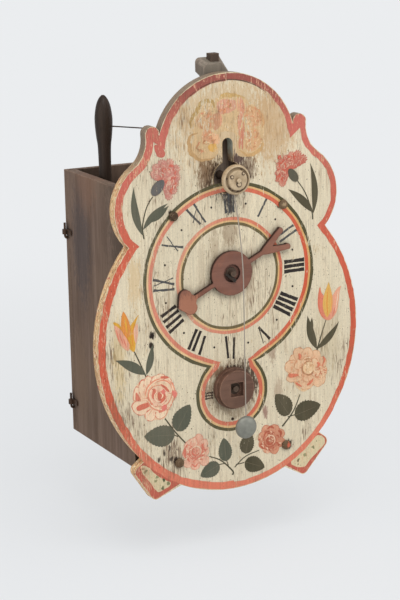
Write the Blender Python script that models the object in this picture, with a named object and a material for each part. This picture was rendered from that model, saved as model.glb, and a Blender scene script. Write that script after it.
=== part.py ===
"""Wooden wheel clock: a painted shield in front of a case with a going train and a striking train.

Metres, +Z up, +Y towards the wall. The origin lies on the wall face, level with the hand's axis.
Outlines seen from the front are lists of (x, z), outlines seen from above are lists of (x, y).
"""

import math

import bmesh
import bpy
from mathutils import Vector

# Fits
CLEARANCE = 0.0003          # between pieces that seat on each other, and round every pivot
SIDE_PLAY = 0.004           # between a plate and the wheel next to it
ROUND_SIDES = 12            # of the outline that stands for a small round
SHARP_ANGLE = 35.0          # edges that bend more than this stay sharp, degrees

# Boards of the case
BOARD_THICKNESS = 0.011     # top and bottom boards
BACK_THICKNESS = 0.007
DOOR_THICKNESS = 0.009
PLATE_THICKNESS = 0.008     # the three upright plates that carry the arbors
PLATE_WIDTH = 0.084
CASE_WIDTH = 0.178
TOP_BOARD_Z = 0.0545        # middle of the top board, level with the upper dial pegs
CASE_RIM = 0.017            # the doors and the back board rise this far above the top board
CASE_LIFT = 0.0028          # the case boards end this far above the underside of the bottom board
BOTTOM_ROOM = 0.0058        # between the great wheels and the bottom board
HANGING_HOLE_RADIUS = 0.005
DOOR_FRONT_GAP = 0.001      # lets the door swing past the dial

# Depths of what stands between the dial and the wall
WHEEL_THICKNESS = 0.005
PULLEY_WIDTH = 0.010
MOTION_ROOM = 0.021         # between the dial and the front plate
PLANE_GAP = 0.006           # between two planes of wheels
LIFTING_ROOM = 0.008        # in front of the strike great wheel, for its pins
PULLEY_GAP = 0.003
COUNT_THICKNESS = 0.004
COUNT_GAP = 0.0015
COUNT_ROOM = 0.0055         # between the count wheel and the back board

# Painted shield, whose middle lies a little below the hand's axis
DIAL_THICKNESS = 0.010
DIAL_DROP = 0.003
ARCH_Z = 0.1095
ARCH_RADIUS = 0.066
EAR_X = 0.0698
EAR_Z = 0.1286
EAR_RADIUS = 0.0066
HOLLOW_RADIUS = 0.028       # concave stretch between ear and shoulder
SHOULDER_X = 0.0618
SHOULDER_Z = 0.065
SHOULDER_RADIUS = 0.0446
LOBE_X = -0.0165            # centre of the long side arcs, across the middle
LOBE_Z = -0.054
LOBE_RADIUS = 0.142
BELLY_Z = -0.0734
BELLY_RADIUS = 0.1183
FOOT_NECK_ANGLE = -44.0     # where the side arc ends at the foot, degrees
FOOT_OUTER = (0.0029, -0.0099)  # from the end of the side arc to the foot's outer corner
FOOT_OUTER_RADIUS = 0.006
FOOT_OUTER_START = 60.0     # degrees
FOOT_TOE = (-0.019, -0.022) # from the right foot's outer corner to its toe
LEFT_FOOT_TOE = (-0.0135, -0.0213)  # the same on the left foot, which is sawn fuller
FOOT_TOE_RADIUS = 0.0055
FOOT_TOE_END = -100.0       # degrees
FOOT_HEEL_ANGLE = -64.5     # where the foot leaves the belly, degrees
KEYHOLE_RADIUS = 0.014
KEYHOLE_WIDTH = 0.010
KEYHOLE_REACH = 0.034       # from the pendulum's axis to the top of the slot
PEG_INSET = 0.0365          # from the side of the case
PEG_RADIUS = 0.003
PEG_HEAD_RADIUS = 0.0043
PEG_HEAD_HEIGHT = 0.0025
PEG_HEAD_SHARES = ((1.0, 0.6), (0.6, 0.95), (0.0, 1.0))     # of the head's height and radius
PEG_DEPTH = 0.012           # of the peg in the board behind the dial

# Trains: tooth counts, and places of the arbors seen from the front
QUARTER_DROP = 0.1022       # from the hand's axis down to the great arbors
MOTION_PINION = 10
INTERMEDIATE_WHEEL = 30
INTERMEDIATE_PINION = 8
HOUR_WHEEL = 32
GREAT_WHEEL = 48
SECOND_WHEEL = 44
THIRD_WHEEL = 32
STRIKE_SECOND_WHEEL = 40
COUNT_WHEEL = 52
PINION = 8
ESCAPE_TEETH = 30
LIFTING_PINS = 12
INTERMEDIATE_AT = (0.022, -0.051)
SECOND_AT = (-0.008, -0.047)
THIRD_AT = (-0.027, 0.002)
STRIKE_SECOND_AT = (0.014, -0.0481)
FLY_AT = (0.030, -0.003)
COUNT_AT = (0.033, -0.0673)

# Teeth: height and depth in modules, width at tip and root as a share of the pitch
WHEEL_TOOTH = (0.7, 1.0, 0.22, 0.56)
PINION_TOOTH = (0.6, 1.0, 0.16, 0.52)

# Arbors and what they carry
ARBOR_RADIUS = 0.005
PIVOT_RADIUS = 0.0025
JOURNAL_RADIUS = 0.004      # of the strike great arbor in the rear plate
DIAL_HOLE_PLAY = 0.0008
GREAT_PULLEY_RADIUS = 0.024
PULLEY_GROOVE = 0.005
PULLEY_RIM = 0.002
ROPE_SLOT_LENGTH = 0.060
ROPE_SLOT_WIDTH = 0.010
PIN_CIRCLE = 0.040
PIN_RADIUS = 0.0015
PIN_LENGTH = 0.005
FLY_REACH = 0.028
FLY_THICKNESS = 0.003
FLY_ANGLE = 20.0

# Escapement and pendulum
PENDULUM_Z = 0.083
ESCAPE_RADIUS = 0.030
ESCAPE_DEPTH = 0.005
ESCAPE_TIP_SHARE = 0.095    # tooth width as a share of the pitch
ESCAPE_ROOT_SHARE = 0.6
PALLET_DROP = 0.0005        # pallets clear the teeth by this at mid swing
NIB_LENGTH = 0.0045
NIB_HALF = 0.0016
ANCHOR_HUB = 0.008
ANCHOR_BACK = 0.009
ANCHOR_SHOULDER = 15.0      # where the hub runs into the arm, degrees
PENDULUM_ARBOR_RADIUS = 0.0035
KNOB_TENON_RADIUS = 0.0018
KNOB_RADIUS = 0.013
KNOB_STEPS = ((KNOB_RADIUS, 0.0035), (0.0112, 0.002), (0.0075, 0.0022))    # radius, height
KNOB_STANDOFF = 0.0125      # from the dial to the back of the knob
WIRE_RADIUS = 0.0006
WIRE_STANDOFF = 0.0255      # from the dial to the hanging wire
WIRE_BEND = 0.080           # the wire comes forward over this drop below the knob
BOB_DROP = 0.215            # from the pendulum's axis to the middle of the bob
BOB_RADIUS = 0.010
BOB_THICKNESS = 0.0086
LENS_EDGE = 72.0            # half angle of the bob's round profile, degrees
COCK_WIDTH = 0.024
COCK_TOP = 0.012

# Bell post
POST_DEPTH = 0.016
POST_STANDOFF = 0.0067      # behind the dial
POST_NECK_WIDTH = 0.018
POST_HEAD_WIDTH = 0.026
POST_HEAD_HEIGHT = 0.0118
POST_CORNER = 0.004         # rounding of the left corner
POST_SLOPE = (0.0085, 0.0112)   # run and drop of the cut at the right corner
POST_TOP = 0.1785
BELL_PEG_WIDTH = 0.008
BELL_PEG_HEIGHT = 0.0078

# Hammer
HAMMER_WALL = 0.0092        # from the door's inner face to the hammer's axis
HAMMER_RADIUS = 0.0055
HAMMER_TOP = 0.148
CLUB_RADIUS = 0.0079
CLUB_LENGTH = 0.062
CLUB_SHARES = (             # of the club's length and radius
    (0.0, 0.69), (0.27, 0.74), (0.39, 0.86), (0.52, 0.96), (0.63, 1.0), (0.72, 0.97), (0.84, 0.82),
    (0.92, 0.61), (0.97, 0.38), (1.0, 0.15),
)
HAMMER_WIRE_DROP = 0.027    # below the hammer's top
HAMMER_WIRE_ANGLE = -55.0   # degrees from +X, seen from above
HAMMER_WIRE_LENGTH = 0.054
HAMMER_HEAD_RADIUS = 0.004
HAMMER_HEAD_LENGTH = 0.014
HAMMER_HEAD_TAPER = 0.8
TAIL_Z = -0.075
TAIL_HEIGHT = 0.006
TAIL_THICKNESS = 0.0044
TAIL_RING = 0.0078
TAIL_GAP = 0.0015           # to the circle of the lifting pins

# Hand and quarter disc
HAND_ANGLE = 206.0          # direction of the heart, degrees from +X towards +Z
HAND_THICKNESS = 0.0034
HAND_STANDOFF = 0.0008
HUB_RADIUS = 0.0195
HUB_RECESS_RADIUS = 0.0078
HUB_RECESS_DEPTH = 0.002
STEM_HALF = 0.0019
HEART_AT = 0.0468
HEART_LOBE = 0.0059
HEART_TIP = 0.0572
HEART_ARC = (40.0, 190.0)   # degrees
FORK_START = 0.033
FORK_NOTCH = 0.0445
FORK_END = 0.0596
FORK_HALF = 0.0112
PRONG_WIDTH = 0.0060
PRONG_ARC = (110.0, 290.0)  # degrees
DISC_RADIUS = 0.0184
DISC_FACE_RADIUS = 0.0168
DISC_BACK = 0.0045
DISC_FACE = 0.0045
DISC_RECESS = 0.0125
DISC_STANDOFF = 0.0008
WEDGE_WIDTH = 0.003
WEDGE_LENGTH = 0.012
WEDGE_HEIGHT = 0.0035
WEDGE_TURN = -60.0          # from the hand, degrees

# Iron hooks and eyes of the doors
HOOK_LEVELS = (("upper", 0.022), ("lower", -0.137))
HOOK_RADIUS = 0.0011
HOOK_HEIGHT = 0.014
HOOK_LEG = 0.010
EYE_RADIUS = 0.0024
EYE_HEIGHT = 0.0045
STRAP_THICKNESS = 0.0011
STRAP_LENGTH = 0.003

# Depths worked out from the front: each pair is (front, back)
CASE_DEPTH = (
    MOTION_ROOM + 3 * PLATE_THICKNESS + 5 * SIDE_PLAY + 4 * WHEEL_THICKNESS + PLANE_GAP
    + 2 * PULLEY_WIDTH + LIFTING_ROOM + PULLEY_GAP + COUNT_GAP + COUNT_THICKNESS + COUNT_ROOM
    + BACK_THICKNESS
)
CASE_FRONT = -CASE_DEPTH
DIAL_BACK = CASE_FRONT - CLEARANCE
DIAL_FRONT = DIAL_BACK - DIAL_THICKNESS
MOTION_GAP = (MOTION_ROOM - 2 * WHEEL_THICKNESS) / 3


def span(start, thickness):
    """A (front, back) pair that starts at a depth."""
    return start, start + thickness


MOTION_WHEEL_Y = span(CASE_FRONT + MOTION_GAP, WHEEL_THICKNESS)
HOUR_WHEEL_Y = span(MOTION_WHEEL_Y[1] + MOTION_GAP, WHEEL_THICKNESS)
FRONT_PLATE_Y = span(CASE_FRONT + MOTION_ROOM, PLATE_THICKNESS)
PLANE_A = span(FRONT_PLATE_Y[1] + SIDE_PLAY, WHEEL_THICKNESS)
PLANE_B = span(PLANE_A[1] + PLANE_GAP, WHEEL_THICKNESS)
GOING_PULLEY_Y = span(PLANE_B[1] + SIDE_PLAY, PULLEY_WIDTH)
MIDDLE_PLATE_Y = span(GOING_PULLEY_Y[1] + SIDE_PLAY, PLATE_THICKNESS)
STRIKE_A = span(MIDDLE_PLATE_Y[1] + SIDE_PLAY, WHEEL_THICKNESS)
STRIKE_B = span(STRIKE_A[1] + LIFTING_ROOM, WHEEL_THICKNESS)
STRIKE_PULLEY_Y = span(STRIKE_B[1] + PULLEY_GAP, PULLEY_WIDTH)
REAR_PLATE_Y = span(STRIKE_PULLEY_Y[1] + SIDE_PLAY, PLATE_THICKNESS)
COUNT_Y = span(REAR_PLATE_Y[1] + COUNT_GAP, COUNT_THICKNESS)
BACK_Y = span(-BACK_THICKNESS, BACK_THICKNESS)

# Places worked out from the sizes above
HOUR_AT = (0.0, 0.0)
GREAT_AT = (0.0, -QUARTER_DROP)
ESCAPE_AT = (0.0, PENDULUM_Z - ESCAPE_RADIUS * math.sqrt(2.0))
HALF_WIDTH = CASE_WIDTH / 2
PEG_X = HALF_WIDTH - PEG_INSET
INNER_HALF = HALF_WIDTH - DOOR_THICKNESS
TOP_Z = (TOP_BOARD_Z - BOARD_THICKNESS / 2, TOP_BOARD_Z + BOARD_THICKNESS / 2)
CASE_TOP = TOP_Z[1] + CASE_RIM
BOARD_BACK = BACK_Y[0] - CLEARANCE
BOARD_HALF = INNER_HALF - CLEARANCE


def distance(a, b):
    return math.hypot(b[0] - a[0], b[1] - a[1])


def module_of(a, b, teeth_a, teeth_b):
    """The tooth module that makes two wheels on these arbors mesh."""
    return 2.0 * distance(a, b) / (teeth_a + teeth_b)


GREAT_MODULE = module_of(GREAT_AT, SECOND_AT, GREAT_WHEEL, PINION)
SECOND_MODULE = module_of(SECOND_AT, THIRD_AT, SECOND_WHEEL, PINION)
THIRD_MODULE = module_of(THIRD_AT, ESCAPE_AT, THIRD_WHEEL, PINION)
MOTION_MODULE = module_of(GREAT_AT, INTERMEDIATE_AT, MOTION_PINION, INTERMEDIATE_WHEEL)
HOUR_MODULE = module_of(INTERMEDIATE_AT, HOUR_AT, INTERMEDIATE_PINION, HOUR_WHEEL)
STRIKE_MODULE = module_of(GREAT_AT, STRIKE_SECOND_AT, GREAT_WHEEL, PINION)
FLY_MODULE = module_of(STRIKE_SECOND_AT, FLY_AT, STRIKE_SECOND_WHEEL, PINION)
COUNT_MODULE = module_of(GREAT_AT, COUNT_AT, PINION, COUNT_WHEEL)
GREAT_TIP = max(GREAT_MODULE, STRIKE_MODULE) * (GREAT_WHEEL / 2 + WHEEL_TOOTH[0])
BOTTOM_TOP = -QUARTER_DROP - GREAT_TIP - BOTTOM_ROOM
BOTTOM_Z = (BOTTOM_TOP - BOARD_THICKNESS, BOTTOM_TOP)
CASE_BOTTOM = BOTTOM_Z[0] + CASE_LIFT
HAMMER_AT = (-INNER_HALF + HAMMER_WALL, STRIKE_B[0] - CLEARANCE - TAIL_THICKNESS / 2 - 2 * CLEARANCE)


# Finishes

def finish(name, colour, roughness, metallic=0.0):
    material = bpy.data.materials.new(name)
    material.use_nodes = True
    shader = material.node_tree.nodes["Principled BSDF"]
    shader.inputs["Base Color"].default_value = (*colour, 1.0)
    shader.inputs["Roughness"].default_value = roughness
    shader.inputs["Metallic"].default_value = metallic
    return material


def clear_scene():
    for item in list(bpy.data.objects):
        bpy.data.objects.remove(item, do_unlink=True)


clear_scene()
CASE_WOOD = finish("case_wood", (0.14, 0.10, 0.08), 0.75)
PAINTED_WOOD = finish("painted_wood", (0.70, 0.60, 0.42), 0.65)
FRAME_WOOD = finish("frame_wood", (0.33, 0.23, 0.14), 0.7)
WHEEL_WOOD = finish("wheel_wood", (0.42, 0.29, 0.16), 0.6)
HAND_WOOD = finish("hand_wood", (0.24, 0.11, 0.08), 0.55)
DARK_WOOD = finish("dark_wood", (0.06, 0.045, 0.035), 0.5)
IRON = finish("iron", (0.05, 0.048, 0.045), 0.6, 0.8)
BONE = finish("bone", (0.55, 0.46, 0.32), 0.45)
PEWTER = finish("pewter", (0.30, 0.29, 0.28), 0.5, 0.7)


# Outlines

def arc(centre, radius, start, end, steps):
    """Points from one angle to another, in degrees from the first axis towards the second."""
    points = []
    for step in range(steps + 1):
        angle = math.radians(start + (end - start) * step / steps)
        points.append((centre[0] + radius * math.cos(angle), centre[1] + radius * math.sin(angle)))
    return points


def circle(centre, radius, sides=ROUND_SIDES):
    return arc(centre, radius, 0.0, 360.0, sides)[:-1]


def rectangle(left, right, low, high):
    return [(left, low), (right, low), (right, high), (left, high)]


def mirrored(points):
    return [(-x, z) for x, z in reversed(points)]


def turned_points(points, centre, angle):
    """Points turned about the origin by an angle in degrees, then moved to a centre."""
    cosine = math.cos(math.radians(angle))
    sine = math.sin(math.radians(angle))
    return [(centre[0] + s * cosine - t * sine, centre[1] + s * sine + t * cosine) for s, t in points]


def heading(a, b):
    """Direction from one place to another, in degrees."""
    return math.degrees(math.atan2(b[1] - a[1], b[0] - a[0]))


def bend(centre, radius, first, last, turn, steps):
    """An arc from the direction of one point to that of another: turn 1 is anticlockwise, -1 clockwise."""
    start = heading(centre, first)
    sweep = turn * ((turn * (heading(centre, last) - start)) % 360.0)
    return arc(centre, radius, start, start + sweep, steps)


def toothed(centre, teeth, module, phase, tooth):
    """Outline of a wheel with one tooth centred on the phase angle."""
    tip, root, tip_share, root_share = tooth
    pitch = 360.0 / teeth
    tip_radius = module * (teeth / 2 + tip)
    root_radius = module * (teeth / 2 - root)
    corners = (
        (root_radius, -root_share),
        (tip_radius, -tip_share),
        (tip_radius, tip_share),
        (root_radius, root_share),
    )
    points = []
    for number in range(teeth):
        for radius, share in corners:
            angle = math.radians(phase + pitch * (number + share / 2))
            points.append((centre[0] + radius * math.cos(angle), centre[1] + radius * math.sin(angle)))
    return points


def wheel_outline(centre, mate, teeth, module):
    """A wheel with a tooth on the line to its mate."""
    return toothed(centre, teeth, module, heading(centre, mate), WHEEL_TOOTH)


def pinion_outline(centre, mate, teeth, module):
    """A pinion with a gap on the line to its mate."""
    return toothed(centre, teeth, module, heading(centre, mate) + 180.0 / teeth, PINION_TOOTH)


# Solids

def lift(point, level, axis):
    """Puts a point of an outline into space: axis Y for one seen from the front, Z from above."""
    if axis == "Y":
        return Vector((point[0], level, point[1]))
    return Vector((point[0], point[1], level))


def ring(bm, points, level, axis):
    corners = [bm.verts.new(lift(point, level, axis)) for point in points]
    for first, second in zip(corners, corners[1:] + corners[:1]):
        bm.edges.new((first, second))
    return corners


def wall(bm, near, far):
    for k in range(len(near)):
        following = (k + 1) % len(near)
        bm.faces.new((near[k], near[following], far[following], far[k]))


def cap(bm, rings):
    edges = []
    for corners in rings:
        for first, second in zip(corners, corners[1:] + corners[:1]):
            edges.append(bm.edges.get((first, second)))
    bmesh.ops.triangle_fill(bm, use_beauty=True, use_dissolve=False, edges=edges)


def add_mesh(name, bm, material, origin):
    bmesh.ops.recalc_face_normals(bm, faces=bm.faces)
    bmesh.ops.translate(bm, verts=bm.verts, vec=-Vector(origin))
    mesh = bpy.data.meshes.new(name)
    bm.to_mesh(mesh)
    bm.free()
    mesh.materials.append(material)
    mesh.shade_smooth()
    mesh.set_sharp_from_angle(angle=math.radians(SHARP_ANGLE))
    item = bpy.data.objects.new(name, mesh)
    item.location = origin
    bpy.context.collection.objects.link(item)
    return item


def plate(name, material, outline, levels, holes=(), pins=(), pin_level=0.0, axis="Y", origin=(0, 0, 0)):
    """A board cut to an outline, with holes, and with pins that stand on its first face."""
    bm = bmesh.new()
    near, far = levels
    near_rings = [ring(bm, points, near, axis) for points in (outline, *holes)]
    far_rings = [ring(bm, points, far, axis) for points in (outline, *holes)]
    for first, second in zip(near_rings, far_rings):
        wall(bm, first, second)
    pin_rings = [ring(bm, points, near, axis) for points in pins]
    for points, foot in zip(pins, pin_rings):
        end = ring(bm, points, pin_level, axis)
        wall(bm, foot, end)
        cap(bm, [end])
    cap(bm, near_rings + pin_rings)
    cap(bm, far_rings)
    return add_mesh(name, bm, material, origin)


def section_start(bm, last, points, level, axis):
    """Where a section begins: the last section's end, or a new ring joined to it by a flat step."""
    if last and last[0] is points:
        return last[1]
    corners = ring(bm, points, level, axis)
    if last:
        cap(bm, [last[1], corners])
    return corners


def stepped(name, material, sections, axis="Y", origin=(0, 0, 0)):
    """A solid made of sections (outline, hole or None, near, far), each starting where the last ends."""
    bm = bmesh.new()
    last_outer = None
    last_inner = None
    for outline, hole, near, far in sections:
        outer = section_start(bm, last_outer, outline, near, axis)
        inner = section_start(bm, last_inner, hole, near, axis) if hole else None
        if last_outer is None:
            cap(bm, [corners for corners in (outer, inner) if corners])
        last_outer = (outline, ring(bm, outline, far, axis))
        wall(bm, outer, last_outer[1])
        if hole:
            last_inner = (hole, ring(bm, hole, far, axis))
            wall(bm, inner, last_inner[1])
    cap(bm, [end[1] for end in (last_outer, last_inner) if end])
    return add_mesh(name, bm, material, origin)


def turned(name, material, centre, profile, axis="Y", sides=ROUND_SIDES, origin=(0, 0, 0)):
    """A lathe-turned solid from pairs of (level, radius) along its axis."""
    bm = bmesh.new()
    rings = [ring(bm, circle(centre, radius, sides), level, axis) for level, radius in profile]
    for near, far in zip(rings, rings[1:]):
        wall(bm, near, far)
    cap(bm, [rings[0]])
    cap(bm, [rings[-1]])
    return add_mesh(name, bm, material, origin)


def wire(name, material, points, radius, origin=(0, 0, 0)):
    """A round wire along a run of points."""
    curve = bpy.data.curves.new(name, "CURVE")
    curve.dimensions = "3D"
    curve.bevel_depth = radius
    curve.bevel_resolution = 1
    curve.use_fill_caps = True
    spline = curve.splines.new("POLY")
    spline.points.add(len(points) - 1)
    for knot, point in zip(spline.points, points):
        knot.co = (*(Vector(point) - Vector(origin)), 1.0)
    curve.materials.append(material)
    item = bpy.data.objects.new(name, curve)
    item.location = origin
    bpy.context.collection.objects.link(item)
    return item


def drill(item, name, start, direction, depth, radius):
    """Cuts a round hole into an object, along a direction from a point on its surface."""
    bm = bmesh.new()
    bmesh.ops.create_cone(
        bm, cap_ends=True, segments=ROUND_SIDES, radius1=radius, radius2=radius, depth=2 * depth
    )
    mesh = bpy.data.meshes.new(name)
    bm.to_mesh(mesh)
    bm.free()
    cutter = bpy.data.objects.new(name, mesh)
    cutter.rotation_euler = Vector(direction).to_track_quat("Z", "Y").to_euler()
    cutter.location = start
    cutter.hide_render = True
    cutter.display_type = "WIRE"
    bpy.context.collection.objects.link(cutter)
    hole = item.modifiers.new(name, "BOOLEAN")
    hole.operation = "DIFFERENCE"
    hole.solver = "EXACT"
    hole.object = cutter


def on_axis(place):
    """Origin of a piece that turns about an arbor running front to back."""
    return (place[0], 0.0, place[1])


# Case

def make_case():
    back = plate(
        "back_board", CASE_WOOD, rectangle(-HALF_WIDTH, HALF_WIDTH, CASE_BOTTOM, CASE_TOP), BACK_Y,
        holes=[circle((0.0, CASE_TOP - 2 * HANGING_HOLE_RADIUS), HANGING_HOLE_RADIUS, 20)],
    )
    escape_slot = rectangle(
        -ESCAPE_RADIUS - 2 * CLEARANCE, ESCAPE_RADIUS + 2 * CLEARANCE,
        PLANE_A[0] - SIDE_PLAY / 2, PLANE_B[1] + SIDE_PLAY / 2,
    )
    board = rectangle(-BOARD_HALF, BOARD_HALF, CASE_FRONT, BOARD_BACK)
    top = plate(
        "top_board", FRAME_WOOD, board, TOP_Z, axis="Z",
        holes=[escape_slot, circle(HAMMER_AT, HAMMER_RADIUS + CLEARANCE)],
    )
    rope_slots = []
    for pulley in (GOING_PULLEY_Y, STRIKE_PULLEY_Y):
        middle = sum(pulley) / 2
        rope_slots.append(rectangle(
            -ROPE_SLOT_LENGTH / 2, ROPE_SLOT_LENGTH / 2,
            middle - ROPE_SLOT_WIDTH / 2, middle + ROPE_SLOT_WIDTH / 2,
        ))
    bottom = plate("bottom_board", CASE_WOOD, board, BOTTOM_Z, axis="Z", holes=rope_slots)
    for side in (-1, 1):
        for item, z in ((top, TOP_BOARD_Z), (bottom, sum(BOTTOM_Z) / 2)):
            drill(
                item, f"{item.name}_peg_hole_{side}", (side * PEG_X, CASE_FRONT, z), (0, 1, 0),
                PEG_DEPTH + CLEARANCE, PEG_RADIUS + CLEARANCE,
            )
        for level_name, level in HOOK_LEVELS:
            drill(
                back, f"hook_hole_{level_name}_{side}",
                (side * HALF_WIDTH, -BACK_THICKNESS / 2, level - HOOK_HEIGHT / 2), (-side, 0, 0),
                HOOK_LEG + CLEARANCE, HOOK_RADIUS + CLEARANCE,
            )


def make_plates():
    """Three upright boards between top and bottom, bored for the arbors that run in them."""
    outline = rectangle(-PLATE_WIDTH / 2, PLATE_WIDTH / 2, BOTTOM_Z[1] + CLEARANCE, TOP_Z[0] - CLEARANCE)
    pivot = PIVOT_RADIUS + CLEARANCE
    going = [circle(place, pivot) for place in (SECOND_AT, THIRD_AT, ESCAPE_AT)]
    striking = [circle(place, pivot) for place in (STRIKE_SECOND_AT, FLY_AT)]
    motion = [circle(place, pivot) for place in (HOUR_AT, INTERMEDIATE_AT)]
    great = [circle(GREAT_AT, ARBOR_RADIUS + CLEARANCE)]
    great_pivots = [circle(GREAT_AT, pivot)]
    journals = [circle(place, JOURNAL_RADIUS + CLEARANCE) for place in (GREAT_AT, COUNT_AT)]
    plate("front_plate", FRAME_WOOD, outline, FRONT_PLATE_Y, holes=going + motion + great)
    plate("middle_plate", FRAME_WOOD, outline, MIDDLE_PLATE_Y, holes=going + striking + great_pivots)
    plate("rear_plate", FRAME_WOOD, outline, REAR_PLATE_Y, holes=striking + journals)


def hook_axis(side):
    """Place of a door's hinge line, seen from above."""
    return (side * (HALF_WIDTH + EYE_RADIUS + CLEARANCE), -BACK_THICKNESS / 2)


def make_door(side, name):
    axis = hook_axis(side)
    outer = side * HALF_WIDTH
    inner = side * INNER_HALF
    plate(
        f"{name}_door", CASE_WOOD, rectangle(min(outer, inner), max(outer, inner), CASE_BOTTOM, CASE_TOP),
        (CASE_FRONT + DOOR_FRONT_GAP, BOARD_BACK), origin=(*axis, 0.0),
    )
    for level_name, level in HOOK_LEVELS:
        low = level - HOOK_HEIGHT / 2
        bend = 2 * HOOK_RADIUS
        path = [(*axis, level + HOOK_HEIGHT / 2)]
        for x, z in arc((-bend, bend), bend, 0.0, -90.0, 3):
            path.append((axis[0] + side * x, axis[1], low + z))
        path.append((outer - side * HOOK_LEG, axis[1], low))
        wire(f"{name}_hook_{level_name}", IRON, path, HOOK_RADIUS)
        make_eye(f"{name}_eye_{level_name}", side, axis, low + 3 * HOOK_RADIUS + CLEARANCE)


def make_eye(name, side, axis, low):
    """A ring round the hook with a strap that lies on the door."""
    strap_face = EYE_RADIUS - STRAP_THICKNESS
    meet = math.degrees(math.acos(strap_face / EYE_RADIUS))
    outline = arc((0.0, 0.0), EYE_RADIUS, 0.0, 360.0 - meet, 12)
    outline += [(strap_face, -STRAP_LENGTH - BACK_THICKNESS), (EYE_RADIUS, -STRAP_LENGTH - BACK_THICKNESS)]
    hole = circle((0.0, 0.0), HOOK_RADIUS + CLEARANCE, 12)
    plate(
        name, IRON,
        [(axis[0] - side * x, axis[1] + y) for x, y in outline], (low, low + EYE_HEIGHT),
        holes=[[(axis[0] + x, axis[1] + y) for x, y in hole]], axis="Z", origin=(*axis, 0.0),
    )


# Shield

def crossing(first, first_radius, second, second_radius, side):
    """One of the two points where circles cross, or the point between them if they only just meet."""
    gap = distance(first, second)
    along = (gap ** 2 + first_radius ** 2 - second_radius ** 2) / (2 * gap)
    off = side * math.sqrt(max(first_radius ** 2 - along ** 2, 0.0))
    ux = (second[0] - first[0]) / gap
    uz = (second[1] - first[1]) / gap
    return (first[0] + along * ux - off * uz, first[1] + along * uz + off * ux)


def shield_half(toe_offset):
    """Right half as arcs from the top of the arch to the middle of the belly."""
    arch = (0.0, ARCH_Z)
    ear = (EAR_X, EAR_Z)
    shoulder = (SHOULDER_X, SHOULDER_Z)
    lobe = (LOBE_X, LOBE_Z)
    belly = (0.0, BELLY_Z)
    hollow = crossing(ear, EAR_RADIUS + HOLLOW_RADIUS, shoulder, SHOULDER_RADIUS + HOLLOW_RADIUS, 1)
    waist = crossing(shoulder, SHOULDER_RADIUS, lobe, LOBE_RADIUS, 1)
    notch = crossing(arch, ARCH_RADIUS, ear, EAR_RADIUS, 1)
    side = arc(lobe, LOBE_RADIUS, heading(lobe, waist), FOOT_NECK_ANGLE, 18)
    outer = (side[-1][0] + FOOT_OUTER[0], side[-1][1] + FOOT_OUTER[1])
    toe = (outer[0] + toe_offset[0], outer[1] + toe_offset[1])
    toe_turn = heading(outer, toe) + 90.0
    half = arc(arch, ARCH_RADIUS, 90.0, heading(arch, notch), 16)
    half += bend(ear, EAR_RADIUS, notch, hollow, -1, 10)[1:]
    half += bend(hollow, HOLLOW_RADIUS, ear, shoulder, 1, 8)[1:]
    half += bend(shoulder, SHOULDER_RADIUS, hollow, waist, -1, 12)[1:]
    half += side[1:]
    half += arc(outer, FOOT_OUTER_RADIUS, FOOT_OUTER_START, toe_turn, 6)
    half += arc(toe, FOOT_TOE_RADIUS, toe_turn, FOOT_TOE_END, 6)
    return half + arc(belly, BELLY_RADIUS, FOOT_HEEL_ANGLE, -90.0, 8)


def shield_outline():
    """The right half and the mirror image of a left half that differs only in its foot."""
    outline = shield_half(FOOT_TOE) + mirrored(shield_half(LEFT_FOOT_TOE))[1:-1]
    return [(x, z - DIAL_DROP) for x, z in outline]


def keyhole_outline():
    pivot = (0.0, PENDULUM_Z)
    half = KEYHOLE_WIDTH / 2
    start = math.degrees(math.asin(half / KEYHOLE_RADIUS))
    slot_top = (0.0, PENDULUM_Z + KEYHOLE_REACH - half)
    return arc(pivot, KEYHOLE_RADIUS, 90.0 + start, 450.0 - start, 22) + arc(slot_top, half, 0.0, 180.0, 8)


def make_dial():
    passage = ARBOR_RADIUS + DIAL_HOLE_PLAY
    pegs = []
    for side, side_name in ((-1, "left"), (1, "right")):
        for z, level_name in ((TOP_BOARD_Z, "upper"), (sum(BOTTOM_Z) / 2, "lower")):
            pegs.append((f"dial_peg_{level_name}_{side_name}", (side * PEG_X, z)))
    holes = [keyhole_outline(), circle(HOUR_AT, passage), circle(GREAT_AT, passage)]
    holes += [circle(place, PEG_RADIUS + CLEARANCE) for peg_name, place in pegs]
    plate("dial_shield", PAINTED_WOOD, shield_outline(), (DIAL_FRONT, DIAL_BACK), holes=holes)
    head = DIAL_FRONT - CLEARANCE
    for peg_name, place in pegs:
        profile = []
        for rise, girth in PEG_HEAD_SHARES:
            profile.append((head - rise * PEG_HEAD_HEIGHT, girth * PEG_HEAD_RADIUS))
        profile += [(head + CLEARANCE / 2, PEG_RADIUS), (CASE_FRONT + PEG_DEPTH, PEG_RADIUS)]
        turned(peg_name, DARK_WOOD, place, profile)


# Going train

def wheel(name, outline, place, levels, bore=ARBOR_RADIUS):
    holes = [circle(place, bore + CLEARANCE)]
    plate(name, WHEEL_WOOD, outline, levels, holes, origin=on_axis(place))


def arbor(name, place, runs, material=WHEEL_WOOD):
    """An arbor from runs of (radius or outline, end depth), the first of which only gives the start."""
    sections = []
    start = runs[0]
    for shape, end in runs[1:]:
        outline = circle(place, shape) if isinstance(shape, float) else shape
        sections.append((outline, None, start, end))
        start = end
    stepped(name, material, sections, origin=on_axis(place))


def pulley(name, place, levels):
    """A rope sheave with a groove, bored for its arbor."""
    front, back = levels
    bore = circle(place, ARBOR_RADIUS + CLEARANCE)
    groove = circle(place, GREAT_PULLEY_RADIUS - PULLEY_GROOVE, 20)
    flange = circle(place, GREAT_PULLEY_RADIUS, 20)
    stepped(name, FRAME_WOOD, (
        (flange, bore, front, front + PULLEY_RIM),
        (groove, bore, front + PULLEY_RIM, back - PULLEY_RIM),
        (flange, bore, back - PULLEY_RIM, back),
    ), origin=on_axis(place))


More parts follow.
